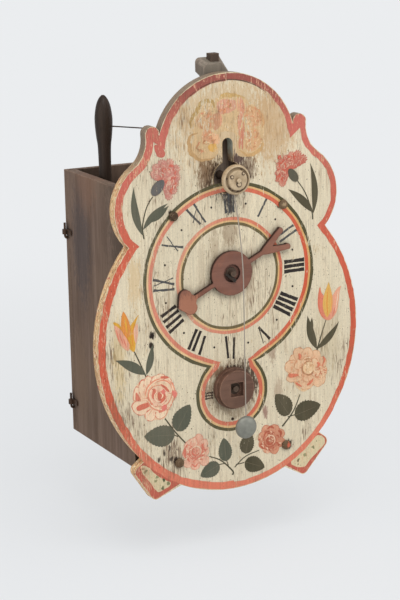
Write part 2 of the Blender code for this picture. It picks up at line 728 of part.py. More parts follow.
def plate_pivot(levels, front):
    """Depth at which a pivot ends inside a plate."""
    return levels[0] + 2 * CLEARANCE if front else levels[1] - 2 * CLEARANCE


def make_motion_work():
    motion = pinion_outline(GREAT_AT, INTERMEDIATE_AT, MOTION_PINION, MOTION_MODULE)
    disc_back = DIAL_FRONT - DISC_STANDOFF
    disc_step = disc_back - DISC_BACK
    arbor("going_great_arbor", GREAT_AT, (
        disc_step - DISC_FACE / 2,
        (PIVOT_RADIUS, disc_step + CLEARANCE),
        (ARBOR_RADIUS, MOTION_WHEEL_Y[0] - CLEARANCE),
        (motion, MOTION_WHEEL_Y[1] + CLEARANCE),
        (ARBOR_RADIUS, MIDDLE_PLATE_Y[0] - CLEARANCE),
        (PIVOT_RADIUS, sum(MIDDLE_PLATE_Y) / 2 - CLEARANCE),
    ))
    half = DISC_RECESS / 2
    recess = turned_points(rectangle(-half, half, -half, half), GREAT_AT, 0.0)
    bore = circle(GREAT_AT, ARBOR_RADIUS + CLEARANCE)
    stepped("quarter_disc", HAND_WOOD, (
        (circle(GREAT_AT, DISC_FACE_RADIUS, 32), recess, disc_step - DISC_FACE, disc_step),
        (circle(GREAT_AT, DISC_RADIUS, 32), bore, disc_step, disc_back),
    ), origin=on_axis(GREAT_AT))
    leaves = pinion_outline(INTERMEDIATE_AT, HOUR_AT, INTERMEDIATE_PINION, HOUR_MODULE)
    arbor("intermediate_arbor", INTERMEDIATE_AT, (
        DIAL_BACK + 2 * CLEARANCE,
        (ARBOR_RADIUS, HOUR_WHEEL_Y[0] - CLEARANCE),
        (leaves, HOUR_WHEEL_Y[1] + CLEARANCE),
        (ARBOR_RADIUS, FRONT_PLATE_Y[0] - CLEARANCE),
        (PIVOT_RADIUS, plate_pivot(FRONT_PLATE_Y, False)),
    ))
    intermediate = wheel_outline(INTERMEDIATE_AT, GREAT_AT, INTERMEDIATE_WHEEL, MOTION_MODULE)
    wheel("intermediate_wheel", intermediate, INTERMEDIATE_AT, MOTION_WHEEL_Y)
    hour = wheel_outline(HOUR_AT, INTERMEDIATE_AT, HOUR_WHEEL, HOUR_MODULE)
    wheel("hour_wheel", hour, HOUR_AT, HOUR_WHEEL_Y)
    hand_back = DIAL_FRONT - HAND_STANDOFF
    arbor("hour_arbor", HOUR_AT, (
        hand_back - HAND_THICKNESS - WEDGE_HEIGHT,
        (PIVOT_RADIUS, hand_back - HAND_THICKNESS + HUB_RECESS_DEPTH - CLEARANCE),
        (ARBOR_RADIUS, FRONT_PLATE_Y[0] - CLEARANCE),
        (PIVOT_RADIUS, plate_pivot(FRONT_PLATE_Y, False)),
    ))


def hand_outline():
    """The hand along its own axis: heart on the positive side, fork on the negative side."""
    heart = (HEART_AT, HEART_LOBE)
    half = [(HEART_TIP, 0.0)]
    half += arc(heart, HEART_LOBE, *HEART_ARC, 8)
    hub_start = math.degrees(math.asin(STEM_HALF / HUB_RADIUS))
    half += [(HEART_AT - HEART_LOBE - STEM_HALF, STEM_HALF)]
    half += arc((0.0, 0.0), HUB_RADIUS, hub_start, 180.0 - hub_start, 14)
    half += [(-FORK_START, STEM_HALF)]
    half += [(-FORK_START - 2 * STEM_HALF, 2 * STEM_HALF)]
    prong = (-FORK_END + PRONG_WIDTH / 2, FORK_HALF - PRONG_WIDTH / 2)
    half += arc(prong, PRONG_WIDTH / 2, *PRONG_ARC, 6)
    return half + [(-FORK_NOTCH, 0.0)] + [(s, -t) for s, t in reversed(half)][:-1]


def make_hand():
    back = DIAL_FRONT - HAND_STANDOFF
    floor = back - HAND_THICKNESS + HUB_RECESS_DEPTH
    outline = turned_points(hand_outline(), HOUR_AT, HAND_ANGLE)
    recess = circle(HOUR_AT, HUB_RECESS_RADIUS, 20)
    bore = circle(HOUR_AT, ARBOR_RADIUS + CLEARANCE)
    bm = bmesh.new()
    front_outer = ring(bm, outline, back - HAND_THICKNESS, "Y")
    front_inner = ring(bm, recess, back - HAND_THICKNESS, "Y")
    floor_outer = ring(bm, recess, floor, "Y")
    floor_inner = ring(bm, bore, floor, "Y")
    back_outer = ring(bm, outline, back, "Y")
    back_inner = ring(bm, bore, back, "Y")
    cap(bm, [front_outer, front_inner])
    cap(bm, [floor_outer, floor_inner])
    cap(bm, [back_outer, back_inner])
    wall(bm, front_outer, back_outer)
    wall(bm, front_inner, floor_outer)
    wall(bm, floor_inner, back_inner)
    add_mesh("hour_hand", bm, HAND_WOOD, on_axis(HOUR_AT))
    reach = PIVOT_RADIUS + CLEARANCE
    wedge = [
        (-WEDGE_LENGTH / 2, reach), (WEDGE_LENGTH / 2, reach),
        (WEDGE_LENGTH / 2, reach + WEDGE_WIDTH / 2), (-WEDGE_LENGTH / 2, reach + WEDGE_WIDTH),
    ]
    plate(
        "hour_hand_wedge", IRON, turned_points(wedge, HOUR_AT, HAND_ANGLE + WEDGE_TURN),
        (floor - HUB_RECESS_DEPTH - CLEARANCE - WEDGE_HEIGHT / 2, floor - HUB_RECESS_DEPTH - CLEARANCE),
        origin=on_axis(HOUR_AT),
    )


def train_arbor(name, place, plates, leaves, leaves_y):
    """An arbor between two plates with its pinion cut in one piece."""
    arbor(name, place, (
        plate_pivot(plates[0], True),
        (PIVOT_RADIUS, plates[0][1] + CLEARANCE),
        (ARBOR_RADIUS, leaves_y[0] - CLEARANCE),
        (leaves, leaves_y[1] + CLEARANCE),
        (ARBOR_RADIUS, plates[1][0] - CLEARANCE),
        (PIVOT_RADIUS, plate_pivot(plates[1], False)),
    ))


def make_going_train():
    plates = (FRONT_PLATE_Y, MIDDLE_PLATE_Y)
    great = wheel_outline(GREAT_AT, SECOND_AT, GREAT_WHEEL, GREAT_MODULE)
    wheel("going_great_wheel", great, GREAT_AT, PLANE_A)
    pulley("going_rope_pulley", GREAT_AT, GOING_PULLEY_Y)
    second_leaves = pinion_outline(SECOND_AT, GREAT_AT, PINION, GREAT_MODULE)
    train_arbor("second_arbor", SECOND_AT, plates, second_leaves, PLANE_A)
    second = wheel_outline(SECOND_AT, THIRD_AT, SECOND_WHEEL, SECOND_MODULE)
    wheel("second_wheel", second, SECOND_AT, PLANE_B)
    third_leaves = pinion_outline(THIRD_AT, SECOND_AT, PINION, SECOND_MODULE)
    train_arbor("third_arbor", THIRD_AT, plates, third_leaves, PLANE_B)
    third = wheel_outline(THIRD_AT, ESCAPE_AT, THIRD_WHEEL, THIRD_MODULE)
    wheel("third_wheel", third, THIRD_AT, PLANE_A)
    escape_leaves = pinion_outline(ESCAPE_AT, THIRD_AT, PINION, THIRD_MODULE)
    train_arbor("escape_arbor", ESCAPE_AT, plates, escape_leaves, PLANE_A)
    module = 2 * ESCAPE_RADIUS / ESCAPE_TEETH
    escape_tooth = (0.0, ESCAPE_DEPTH / module, ESCAPE_TIP_SHARE, ESCAPE_ROOT_SHARE)
    wheel("escape_wheel", toothed(ESCAPE_AT, ESCAPE_TEETH, module, 0.0, escape_tooth), ESCAPE_AT, PLANE_B)


# Pendulum

def anchor_outline():
    """Hub and two arms, whose nibs point at the escape wheel on the lines at 45 degrees."""
    lean = math.sqrt(0.5)

    def from_wheel(reach, side):
        return (lean * (reach + side), ESCAPE_AT[1] + lean * (reach - side))

    half = arc((0.0, PENDULUM_Z), ANCHOR_HUB, 90.0, ANCHOR_SHOULDER, 5)
    half.append(from_wheel(ESCAPE_RADIUS + ANCHOR_BACK, NIB_HALF))
    half.append(from_wheel(ESCAPE_RADIUS + PALLET_DROP + NIB_LENGTH, NIB_HALF))
    half.append(from_wheel(ESCAPE_RADIUS + PALLET_DROP, 0.0))
    half.append(from_wheel(ESCAPE_RADIUS + PALLET_DROP + NIB_LENGTH, -NIB_HALF))
    return half + [(0.0, PENDULUM_Z - ANCHOR_HUB)] + mirrored(half)[:-1]


def make_pendulum():
    pivot = (0.0, PENDULUM_Z)
    origin = on_axis(pivot)
    knob_back = DIAL_FRONT - KNOB_STANDOFF
    knob_front = knob_back - sum(height for radius, height in KNOB_STEPS)
    cock = span(PLANE_B[1] + SIDE_PLAY, PLATE_THICKNESS)
    bore = circle(pivot, PENDULUM_ARBOR_RADIUS + CLEARANCE)
    arbor("pendulum_arbor", pivot, (
        knob_front - 3 * CLEARANCE,
        (KNOB_TENON_RADIUS, knob_back + CLEARANCE),
        (PENDULUM_ARBOR_RADIUS, cock[1] - CLEARANCE),
    ))
    sections = []
    start = knob_front
    tenon_hole = circle(pivot, KNOB_TENON_RADIUS + CLEARANCE)
    for radius, height in reversed(KNOB_STEPS):
        sections.append((circle(pivot, radius, 28), tenon_hole, start, start + height))
        start += height
    stepped("pendulum_knob", BONE, sections, origin=origin)
    plate("pallet_anchor", IRON, anchor_outline(), PLANE_B, holes=[bore], origin=origin)
    hang = DIAL_FRONT - WIRE_STANDOFF
    under = PENDULUM_Z - KNOB_RADIUS
    behind = knob_back + 3 * WIRE_RADIUS
    bob_top = PENDULUM_Z - BOB_DROP + BOB_RADIUS
    path = [(0.0, behind + WIRE_RADIUS, PENDULUM_Z - PENDULUM_ARBOR_RADIUS - CLEARANCE)]
    steps = 6
    for step in range(steps + 1):
        left = 1.0 - step / steps
        path.append((0.0, hang + left ** 2 * (behind - hang), under - (1.0 - left) * WIRE_BEND))
    path.append((0.0, hang, bob_top + CLEARANCE))
    wire("pendulum_wire", IRON, path, WIRE_RADIUS, origin)
    lens = []
    for radius_share, rise in arc((0.0, 0.0), 1.0, -LENS_EDGE, LENS_EDGE, 6):
        depth = rise / math.sin(math.radians(LENS_EDGE)) * BOB_THICKNESS / 2
        lens.append((hang + depth, radius_share * BOB_RADIUS))
    turned("pendulum_bob", PEWTER, (0.0, PENDULUM_Z - BOB_DROP), lens, sides=24, origin=origin)
    low = TOP_Z[1] + CLEARANCE
    half = COCK_WIDTH / 2
    cock_outline = [(-half, low), (half, low)] + arc(pivot, COCK_TOP, 0.0, 180.0, 10)
    plate("rear_cock", FRAME_WOOD, cock_outline, cock, holes=[bore])


def make_bell_post():
    low = TOP_Z[1] + CLEARANCE
    neck = POST_NECK_WIDTH / 2
    head = POST_HEAD_WIDTH / 2
    under_head = POST_TOP - POST_HEAD_HEIGHT
    flare = head - neck
    rise = [(neck, low), (neck, under_head - flare), (head, under_head)]
    right = rise + [(head, POST_TOP - POST_SLOPE[1]), (head - POST_SLOPE[0], POST_TOP)]
    left = rise + arc((head - POST_CORNER, POST_TOP - POST_CORNER), POST_CORNER, 0.0, 90.0, 5)
    levels = span(DIAL_BACK + POST_STANDOFF, POST_DEPTH)
    bore = circle((0.0, PENDULUM_Z), PENDULUM_ARBOR_RADIUS + CLEARANCE)
    plate("bell_post", FRAME_WOOD, right + mirrored(left), levels, holes=[bore])
    middle = sum(levels) / 2
    width = BELL_PEG_WIDTH / 2
    foot = POST_TOP + CLEARANCE
    plate(
        "bell_peg", FRAME_WOOD, rectangle(-width, width, middle - width, middle + width),
        (foot, foot + BELL_PEG_HEIGHT), axis="Z",
    )


# Striking train and hammer

def make_striking_train():
    plates = (MIDDLE_PLATE_Y, REAR_PLATE_Y)
    count_leaves = pinion_outline(GREAT_AT, COUNT_AT, PINION, COUNT_MODULE)
    arbor("strike_great_arbor", GREAT_AT, (
        sum(MIDDLE_PLATE_Y) / 2 + CLEARANCE,
        (PIVOT_RADIUS, MIDDLE_PLATE_Y[1] + CLEARANCE),
        (ARBOR_RADIUS, REAR_PLATE_Y[0] - CLEARANCE),
        (JOURNAL_RADIUS, COUNT_Y[0] - CLEARANCE),
        (count_leaves, COUNT_Y[1] + CLEARANCE),
    ))
    pins = []
    for number in range(LIFTING_PINS):
        place = turned_points([(PIN_CIRCLE, 0.0)], GREAT_AT, 360.0 * number / LIFTING_PINS)[0]
        pins.append(circle(place, PIN_RADIUS, 8))
    great = wheel_outline(GREAT_AT, STRIKE_SECOND_AT, GREAT_WHEEL, STRIKE_MODULE)
    plate(
        "strike_great_wheel", WHEEL_WOOD, great, STRIKE_B, [circle(GREAT_AT, ARBOR_RADIUS + CLEARANCE)],
        pins, STRIKE_B[0] - PIN_LENGTH, origin=on_axis(GREAT_AT),
    )
    pulley("strike_rope_pulley", GREAT_AT, STRIKE_PULLEY_Y)
    second_leaves = pinion_outline(STRIKE_SECOND_AT, GREAT_AT, PINION, STRIKE_MODULE)
    train_arbor("strike_second_arbor", STRIKE_SECOND_AT, plates, second_leaves, STRIKE_B)
    second = wheel_outline(STRIKE_SECOND_AT, FLY_AT, STRIKE_SECOND_WHEEL, FLY_MODULE)
    wheel("strike_second_wheel", second, STRIKE_SECOND_AT, STRIKE_A)
    fly_leaves = pinion_outline(FLY_AT, STRIKE_SECOND_AT, PINION, FLY_MODULE)
    train_arbor("fly_arbor", FLY_AT, plates, fly_leaves, STRIKE_A)
    hub = ARBOR_RADIUS + FLY_THICKNESS
    side = math.degrees(math.asin(FLY_THICKNESS / 2 / hub))
    vane = [(FLY_REACH, -FLY_THICKNESS / 2), (FLY_REACH, FLY_THICKNESS / 2)]
    vane += arc((0.0, 0.0), hub, side, 180.0 - side, 6)
    vane += [(-s, -t) for s, t in vane]
    plate(
        "fly_vane", WHEEL_WOOD, turned_points(vane, FLY_AT, FLY_ANGLE), (STRIKE_B[0], STRIKE_PULLEY_Y[1]),
        holes=[circle(FLY_AT, ARBOR_RADIUS + CLEARANCE)], origin=on_axis(FLY_AT),
    )
    count = wheel_outline(COUNT_AT, GREAT_AT, COUNT_WHEEL, COUNT_MODULE)
    wheel("count_wheel", count, COUNT_AT, COUNT_Y, JOURNAL_RADIUS)
    turned("count_stud", FRAME_WOOD, COUNT_AT, (
        (REAR_PLATE_Y[0], JOURNAL_RADIUS), (COUNT_Y[1] + COUNT_ROOM / 2, JOURNAL_RADIUS),
    ))


def make_hammer():
    foot = BOTTOM_Z[1] + CLEARANCE
    origin = (*HAMMER_AT, 0.0)
    profile = [(foot, PIVOT_RADIUS), (foot + PIVOT_RADIUS, HAMMER_RADIUS)]
    club_start = HAMMER_TOP - CLUB_LENGTH
    profile += [(club_start + share * CLUB_LENGTH, girth * CLUB_RADIUS) for share, girth in CLUB_SHARES]
    turned("hammer_arbor", DARK_WOOD, HAMMER_AT, profile, axis="Z", sides=16, origin=origin)
    turn = math.radians(HAMMER_WIRE_ANGLE)
    along = Vector((math.cos(turn), math.sin(turn), 0.0))
    level = HAMMER_TOP - HAMMER_WIRE_DROP
    start = Vector((*HAMMER_AT, level)) + along * (CLUB_RADIUS + CLEARANCE)
    end = start + along * HAMMER_WIRE_LENGTH
    wire("hammer_wire", IRON, (start, start.lerp(end, 0.5), end), WIRE_RADIUS, origin)
    head_at = end + along * (HAMMER_HEAD_RADIUS + CLEARANCE)
    half = HAMMER_HEAD_LENGTH / 2
    turned("hammer_head", IRON, (head_at.x, head_at.y), (
        (head_at.z - half, HAMMER_HEAD_TAPER * HAMMER_HEAD_RADIUS),
        (head_at.z - HAMMER_HEAD_TAPER * half, HAMMER_HEAD_RADIUS),
        (head_at.z + HAMMER_HEAD_TAPER * half, HAMMER_HEAD_RADIUS),
        (head_at.z + half, HAMMER_HEAD_TAPER * HAMMER_HEAD_RADIUS),
    ), axis="Z", origin=origin)
    clear = PIN_CIRCLE + PIN_RADIUS + TAIL_GAP
    rise = TAIL_Z - TAIL_HEIGHT / 2 - GREAT_AT[1]
    tail_end = -math.sqrt(clear ** 2 - rise ** 2) - HAMMER_AT[0]
    width = TAIL_THICKNESS / 2
    start_angle = math.degrees(math.asin(width / TAIL_RING))
    outline = [(tail_end, -width), (tail_end, width)]
    outline += arc((0.0, 0.0), TAIL_RING, start_angle, 360.0 - start_angle, 14)
    plate(
        "hammer_tail", IRON, [(HAMMER_AT[0] + x, HAMMER_AT[1] + y) for x, y in outline],
        (TAIL_Z - TAIL_HEIGHT / 2, TAIL_Z + TAIL_HEIGHT / 2),
        holes=[circle(HAMMER_AT, HAMMER_RADIUS + CLEARANCE)], axis="Z", origin=origin,
    )


make_case()
make_plates()
make_door(-1, "left")
make_door(1, "right")
make_dial()
make_motion_work()
make_hand()
make_going_train()
make_pendulum()
make_bell_post()
make_striking_train()
make_hammer()
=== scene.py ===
# %% [markdown]
# # A painted clock with wooden wheels
# This lesson dresses the solid model of a small wall clock: a painted shield, one wooden hand, a short
# pendulum that swings in front of the dial, and a plain case with doors. The solids already have the
# right sizes and joints, so each step here adds what a maker would add after the joinery: turned details,
# paint and the marks of two hundred years.

# %% Load the solid model
import math
import random

import bmesh
import bpy
from mathutils import Matrix, Vector, noise


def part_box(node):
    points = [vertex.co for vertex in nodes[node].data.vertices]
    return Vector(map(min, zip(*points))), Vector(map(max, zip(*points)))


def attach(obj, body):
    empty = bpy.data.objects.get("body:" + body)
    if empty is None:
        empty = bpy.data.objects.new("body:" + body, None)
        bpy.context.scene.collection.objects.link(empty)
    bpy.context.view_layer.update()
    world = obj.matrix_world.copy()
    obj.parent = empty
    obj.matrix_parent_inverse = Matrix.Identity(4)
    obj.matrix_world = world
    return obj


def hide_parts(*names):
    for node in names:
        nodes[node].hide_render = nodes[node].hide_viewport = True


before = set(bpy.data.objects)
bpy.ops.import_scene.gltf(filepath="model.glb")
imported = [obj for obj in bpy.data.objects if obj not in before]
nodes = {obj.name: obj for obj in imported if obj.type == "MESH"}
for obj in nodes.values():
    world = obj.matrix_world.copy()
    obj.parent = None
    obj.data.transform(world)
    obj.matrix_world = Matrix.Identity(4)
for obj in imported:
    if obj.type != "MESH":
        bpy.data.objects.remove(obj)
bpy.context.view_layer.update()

# %% [markdown]
# ## Camera
# A long lens from the left and a little above shows the dial and the side of the case. The angles, the
# distance and the place of the dial's middle in the picture come from fitting circles to the painted
# rings. A lens shift puts the dial's middle where it belongs without turning the camera.

# %% Place the camera
MM = 0.001
IMAGE_HEIGHT = 600
IMAGE_CENTRE = (200.0, 300.0)
RING_DROP = 0.003           # the painted rings lie this far below the hand's axis
AZIMUTH = math.radians(-26.72)
ELEVATION = math.radians(12.51)
ROLL = math.radians(-1.09)
VIEW_DISTANCE = 1.7408
FOCAL_PIXELS = 2023.2
TARGET_PIXEL = (229.91, 275.83)
SENSOR_HEIGHT = 36.0

DIAL_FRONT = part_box("dial_shield")[0].y
view_target = Vector((0.0, DIAL_FRONT, -RING_DROP))
back = Vector((
    math.sin(AZIMUTH) * math.cos(ELEVATION),
    -math.cos(AZIMUTH) * math.cos(ELEVATION),
    math.sin(ELEVATION),
))
level_right = Vector((math.cos(AZIMUTH), math.sin(AZIMUTH), 0.0))
level_up = back.cross(level_right)
right = level_right * math.cos(ROLL) + level_up * math.sin(ROLL)
up = level_up * math.cos(ROLL) - level_right * math.sin(ROLL)

lens = bpy.data.cameras.new("camera")
lens.sensor_fit = "VERTICAL"
lens.sensor_height = SENSOR_HEIGHT
lens.lens = FOCAL_PIXELS * SENSOR_HEIGHT / IMAGE_HEIGHT
lens.shift_x = (IMAGE_CENTRE[0] - TARGET_PIXEL[0]) / IMAGE_HEIGHT
lens.shift_y = (TARGET_PIXEL[1] - IMAGE_CENTRE[1]) / IMAGE_HEIGHT
camera = bpy.data.objects.new("camera", lens)
turned_view = Matrix((right, up, back)).transposed().to_4x4()
camera.matrix_world = Matrix.Translation(view_target + back * VIEW_DISTANCE) @ turned_view
bpy.context.collection.objects.link(camera)
bpy.context.scene.camera = camera
bpy.context.scene.view_settings.view_transform = "Standard"
print(f"camera: {lens.lens:.1f} mm lens at {VIEW_DISTANCE:.2f} m")

# %% [markdown]
# ## Small helpers for node trees
# Materials are easier to read when a node is made, set and linked in one call. An input takes a plain
# value or the output of another node.

# %% Node helpers
COLOUR_FIRST, COLOUR_SECOND, COLOUR_RESULT = 6, 7, 2  # sockets of a Mix node that mixes colours


def node(tree, kind, inputs=None, **settings):
    """Adds a node with its settings. Each input is a value or a socket to link."""
    item = tree.nodes.new(kind)
    for name, value in settings.items():
        setattr(item, name, value)
    for key, value in (inputs or {}).items():
        if isinstance(value, bpy.types.NodeSocket):
            tree.links.new(value, item.inputs[key])
        else:
            item.inputs[key].default_value = value
    return item


def maths(tree, operation, *values):
    return node(tree, "ShaderNodeMath", dict(enumerate(values)), operation=operation).outputs[0]


def step_between(tree, value, low, high):
    """A soft step from 0 to 1 as a value rises from low to high."""
    inputs = {"Value": value, "From Min": low, "From Max": high}
    return node(tree, "ShaderNodeMapRange", inputs, interpolation_type="SMOOTHSTEP").outputs[0]


def spread(tree, value, low, high):
    """Maps 0..1 to a range."""
    return node(tree, "ShaderNodeMapRange", {"Value": value, "To Min": low, "To Max": high}).outputs[0]


def mixed(tree, factor, first, second, blend="MIX"):
    """Mixes two colours."""
    inputs = {0: factor, COLOUR_FIRST: first, COLOUR_SECOND: second}
    return node(tree, "ShaderNodeMix", inputs, data_type="RGBA", blend_type=blend).outputs[COLOUR_RESULT]


def vector_maths(tree, operation, *values):
    return node(tree, "ShaderNodeVectorMath", dict(enumerate(values)), operation=operation).outputs


def object_place(tree, stretch):
    """Coordinates that move with the piece, stretched along each axis."""
    place = node(tree, "ShaderNodeTexCoord").outputs["Object"]
    return vector_maths(tree, "MULTIPLY", place, stretch)[0]


def clouds(tree, place, detail, roughness=0.55, distortion=0.0):
    """Noise of about one feature per unit of the coordinates it is given."""
    inputs = {
        "Vector": place, "Scale": 1.0, "Detail": detail, "Roughness": roughness, "Distortion": distortion,
    }
    return node(tree, "ShaderNodeTexNoise", inputs).outputs[0]


def pattern(tree, stretch, detail=3.0, roughness=0.55, distortion=0.0):
    """Noise fixed to the piece. Stretch is its number of features per metre along each axis."""
    return clouds(tree, object_place(tree, stretch), detail, roughness, distortion)


def srgb(red, green, blue):
    """A colour as a picture shows it, 0 to 255, turned into the linear values that a shader takes."""
    linear = []
    for value in (red, green, blue):
        share = value / 255
        linear.append(share / 12.92 if share <= 0.04045 else ((share + 0.055) / 1.055) ** 2.4)
    return (*linear, 1.0)


def new_material(name, gleam=0.2):
    """A material with its tree and shader. Old dry surfaces gleam little."""
    material = bpy.data.materials.new(name)
    material.use_nodes = True
    tree = material.node_tree
    shader = tree.nodes["Principled BSDF"]
    shader.inputs["Specular IOR Level"].default_value = gleam
    return material, tree, shader


# %% [markdown]
# ## Room, floor and light
# The clock is shown in a plain pale room. A picture of a room could light it, but an even sky is plainer
# and has no colour of its own. The camera and reflections see a pale backdrop, and all other rays see the
# sky, so the tone of the one and the strength of the other are set apart.

# %% Sky
BACKDROP = srgb(235, 237, 239)
SKY_STRENGTH = 0.5


def seen_directly(tree):
    """1 for what the camera, a reflection or glass sees, 0 for what only lights."""
    path = node(tree, "ShaderNodeLightPath")
    camera_or_glossy = maths(tree, "MAXIMUM", path.outputs["Is Camera Ray"], path.outputs["Is Glossy Ray"])
    return maths(tree, "MAXIMUM", camera_or_glossy, path.outputs["Is Transmission Ray"])


sky = bpy.data.worlds.new("pale_room")
sky.use_nodes = True
tree = sky.node_tree
tree.nodes.clear()
light_sky = node(tree, "ShaderNodeBackground", {"Color": (1.0, 1.0, 1.0, 1.0), "Strength": SKY_STRENGTH})
shown_sky = node(tree, "ShaderNodeBackground", {"Color": BACKDROP, "Strength": 1.0})
choice = node(tree, "ShaderNodeMixShader", {
    0: seen_directly(tree), 1: light_sky.outputs[0], 2: shown_sky.outputs[0],
})
node(tree, "ShaderNodeOutputWorld", {"Surface": choice.outputs[0]})
bpy.context.scene.world = sky
print("sky strength", SKY_STRENGTH)

# %% [markdown]
# The floor is one large face. It is part backdrop and part lit surface, so it stays pale and still shows
# the clock's shadow. A plain lit floor would go grey and show a horizon, so far out it is all backdrop.

# %% Floor
FLOOR_Z = -0.25
FLOOR_HALF = 4.0
FLOOR_GLOW = 0.74           # share of plain backdrop in the floor near the clock
GLOW_NEAR, GLOW_FAR = 0.25, 1.3  # the share grows to all of it between these distances, m

floor_mesh = bpy.data.meshes.new("floor")
floor_corners = [(x * FLOOR_HALF, y * FLOOR_HALF, FLOOR_Z) for x, y in ((-1, -1), (1, -1), (1, 1), (-1, 1))]
floor_mesh.from_pydata(floor_corners, [], [(0, 1, 2, 3)])
floor = bpy.data.objects.new("floor", floor_mesh)
bpy.context.collection.objects.link(floor)

floor_paint, tree, shader = new_material("pale_floor")
tone = pattern(tree, (1.5, 1.5, 1.5))
tree.links.new(mixed(tree, tone, srgb(230, 233, 236), BACKDROP), shader.inputs["Base Color"])
tree.links.new(spread(tree, tone, 0.85, 0.95), shader.inputs["Roughness"])
from_clock = vector_maths(tree, "LENGTH", object_place(tree, (1.0, 1.0, 0.0)))["Value"]
far_out = step_between(tree, from_clock, GLOW_NEAR, GLOW_FAR)
glow_share = spread(tree, far_out, FLOOR_GLOW, 1.0)
glow = node(tree, "ShaderNodeEmission", {"Color": BACKDROP, "Strength": 1.0})
shown = node(tree, "ShaderNodeMixShader", {
    0: maths(tree, "MULTIPLY", seen_directly(tree), glow_share), 1: shader.outputs[0], 2: glow.outputs[0],
})
tree.links.new(shown.outputs[0], tree.nodes["Material Output"].inputs["Surface"])
floor_mesh.materials.append(floor_paint)
print(f"floor at {FLOOR_Z} m")

# %% [markdown]
# Three large round lamps give soft shadows, at a level where a colour comes out about as it is written.
# Small lamps or a sun would draw hard edges.

# %% Lamps
LAMPS = (                   # name, place, width in m, power in W
    ("overhead_lamp", (-0.25, -1.4, 1.7), 1.3, 22.0),
    ("right_lamp", (1.5, -1.7, 0.6), 1.2, 9.0),
    ("left_lamp", (-1.9, -0.6, 0.5), 1.2, 4.5),
)
for name, place, width, power in LAMPS:
    lamp = bpy.data.lights.new(name, "AREA")
    lamp.shape = "DISK"
    lamp.size = width
    lamp.energy = power
    item = bpy.data.objects.new(name, lamp)
    item.location = place
    item.rotation_euler = (Vector(place) - view_target).to_track_quat("Z", "Y").to_euler()
    bpy.context.collection.objects.link(item)
print(len(LAMPS), "soft lamps")

# %% [markdown]
# ## Shared effects
# Age shows in the same few ways all over the clock: grain in the wood, pale rubbed edges, dirt in the
# corners and paint that flakes along the grain. The dark corners also carry painted shade. Each is one node
# group with named sockets, so every material can use it with values of its own. They could be painted as
# pictures, but nodes in object coordinates need no unwrapping and move with the piece.

# %% Group helper
SOCKETS = {"FLOAT": "NodeSocketFloat", "VECTOR": "NodeSocketVector", "COLOUR": "NodeSocketColor"}


def new_group(name, inputs, outputs):
    """An empty shader group. Inputs are (name, kind, default), outputs are (name, kind)."""
    group = bpy.data.node_groups.new(name, "ShaderNodeTree")
    for socket_name, kind, default in inputs:
        socket = group.interface.new_socket(socket_name, in_out="INPUT", socket_type=SOCKETS[kind])
        socket.default_value = default
    for socket_name, kind in outputs:
        group.interface.new_socket(socket_name, in_out="OUTPUT", socket_type=SOCKETS[kind])
    print("group:", name)
    return group, group.nodes.new("NodeGroupInput").outputs, group.nodes.new("NodeGroupOutput").inputs


def use_group(tree, group, **values):
    """Places a group in a material and sets its inputs by name."""
    return node(tree, "ShaderNodeGroup", values, node_tree=group).outputs


# %% [markdown]
# Wood shows broad bands, finer streaks and dark pores, all drawn out along the grain. One stretched noise
# at three scales gives them. Each wood sets the stretch, so the grain runs the way the piece was cut.

# %% Wood grain
BROAD_SCALE, BROAD_SHARE = 0.22, 0.55  # the bands are wider than the streaks and count for a little more
FINE_SHARE = 0.45
STREAK_STEP = (0.32, 0.68)
PORE_SCALE, PORE_STEP = 3.1, (0.62, 0.72)
grain, taken, given = new_group(
    "wood_grain", [("Stretch", "VECTOR", (300, 300, 20))],
    [("Streaks", "FLOAT"), ("Pores", "FLOAT"), ("Height", "FLOAT")],
)
along = object_place(grain, taken["Stretch"])


def rescaled(tree, place, scale):
    return node(tree, "ShaderNodeVectorMath", {0: place, "Scale": scale}, operation="SCALE").outputs[0]


bands = clouds(grain, rescaled(grain, along, BROAD_SCALE), detail=3, roughness=0.5, distortion=0.8)
broad = maths(grain, "MULTIPLY", bands, BROAD_SHARE)
fine = maths(grain, "MULTIPLY", clouds(grain, along, detail=6, roughness=0.65, distortion=0.4), FINE_SHARE)
streaks = step_between(grain, maths(grain, "ADD", broad, fine), *STREAK_STEP)
pores = step_between(grain, clouds(grain, rescaled(grain, along, PORE_SCALE), detail=1), *PORE_STEP)
grain.links.new(streaks, given["Streaks"])
grain.links.new(pores, given["Pores"])
grain.links.new(maths(grain, "SUBTRACT", streaks, pores), given["Height"])

# %% [markdown]
# Where hands and doors rub, an edge loses its colour first. Comparing the true normal with a rounded one
# finds every edge without a drawn mask. Noise breaks the line up, because real wear is never even.

# %% Rubbed edges
EDGE_BEND = (0.02, 0.22)    # how far the two normals part where an edge starts to count, and where it is full
EDGE_BREAKS = (0.36, 0.56)
worn_edges, taken, given = new_group(
    "worn_edges", [("Width", "FLOAT", 0.0015), ("Amount", "FLOAT", 1)], [("Mask", "FLOAT")],
)
rounded = node(worn_edges, "ShaderNodeBevel", {"Radius": taken["Width"]}, samples=4).outputs[0]
flat = node(worn_edges, "ShaderNodeNewGeometry").outputs["Normal"]
agreement = vector_maths(worn_edges, "DOT_PRODUCT", rounded, flat)["Value"]
bend = maths(worn_edges, "SUBTRACT", 1, agreement)
edge = step_between(worn_edges, bend, *EDGE_BEND)
ragged = pattern(worn_edges, (190, 190, 190), 4)
broken = maths(worn_edges, "MULTIPLY", edge, step_between(worn_edges, ragged, *EDGE_BREAKS))
worn_edges.links.new(maths(worn_edges, "MULTIPLY", broken, taken["Amount"]), given["Mask"])
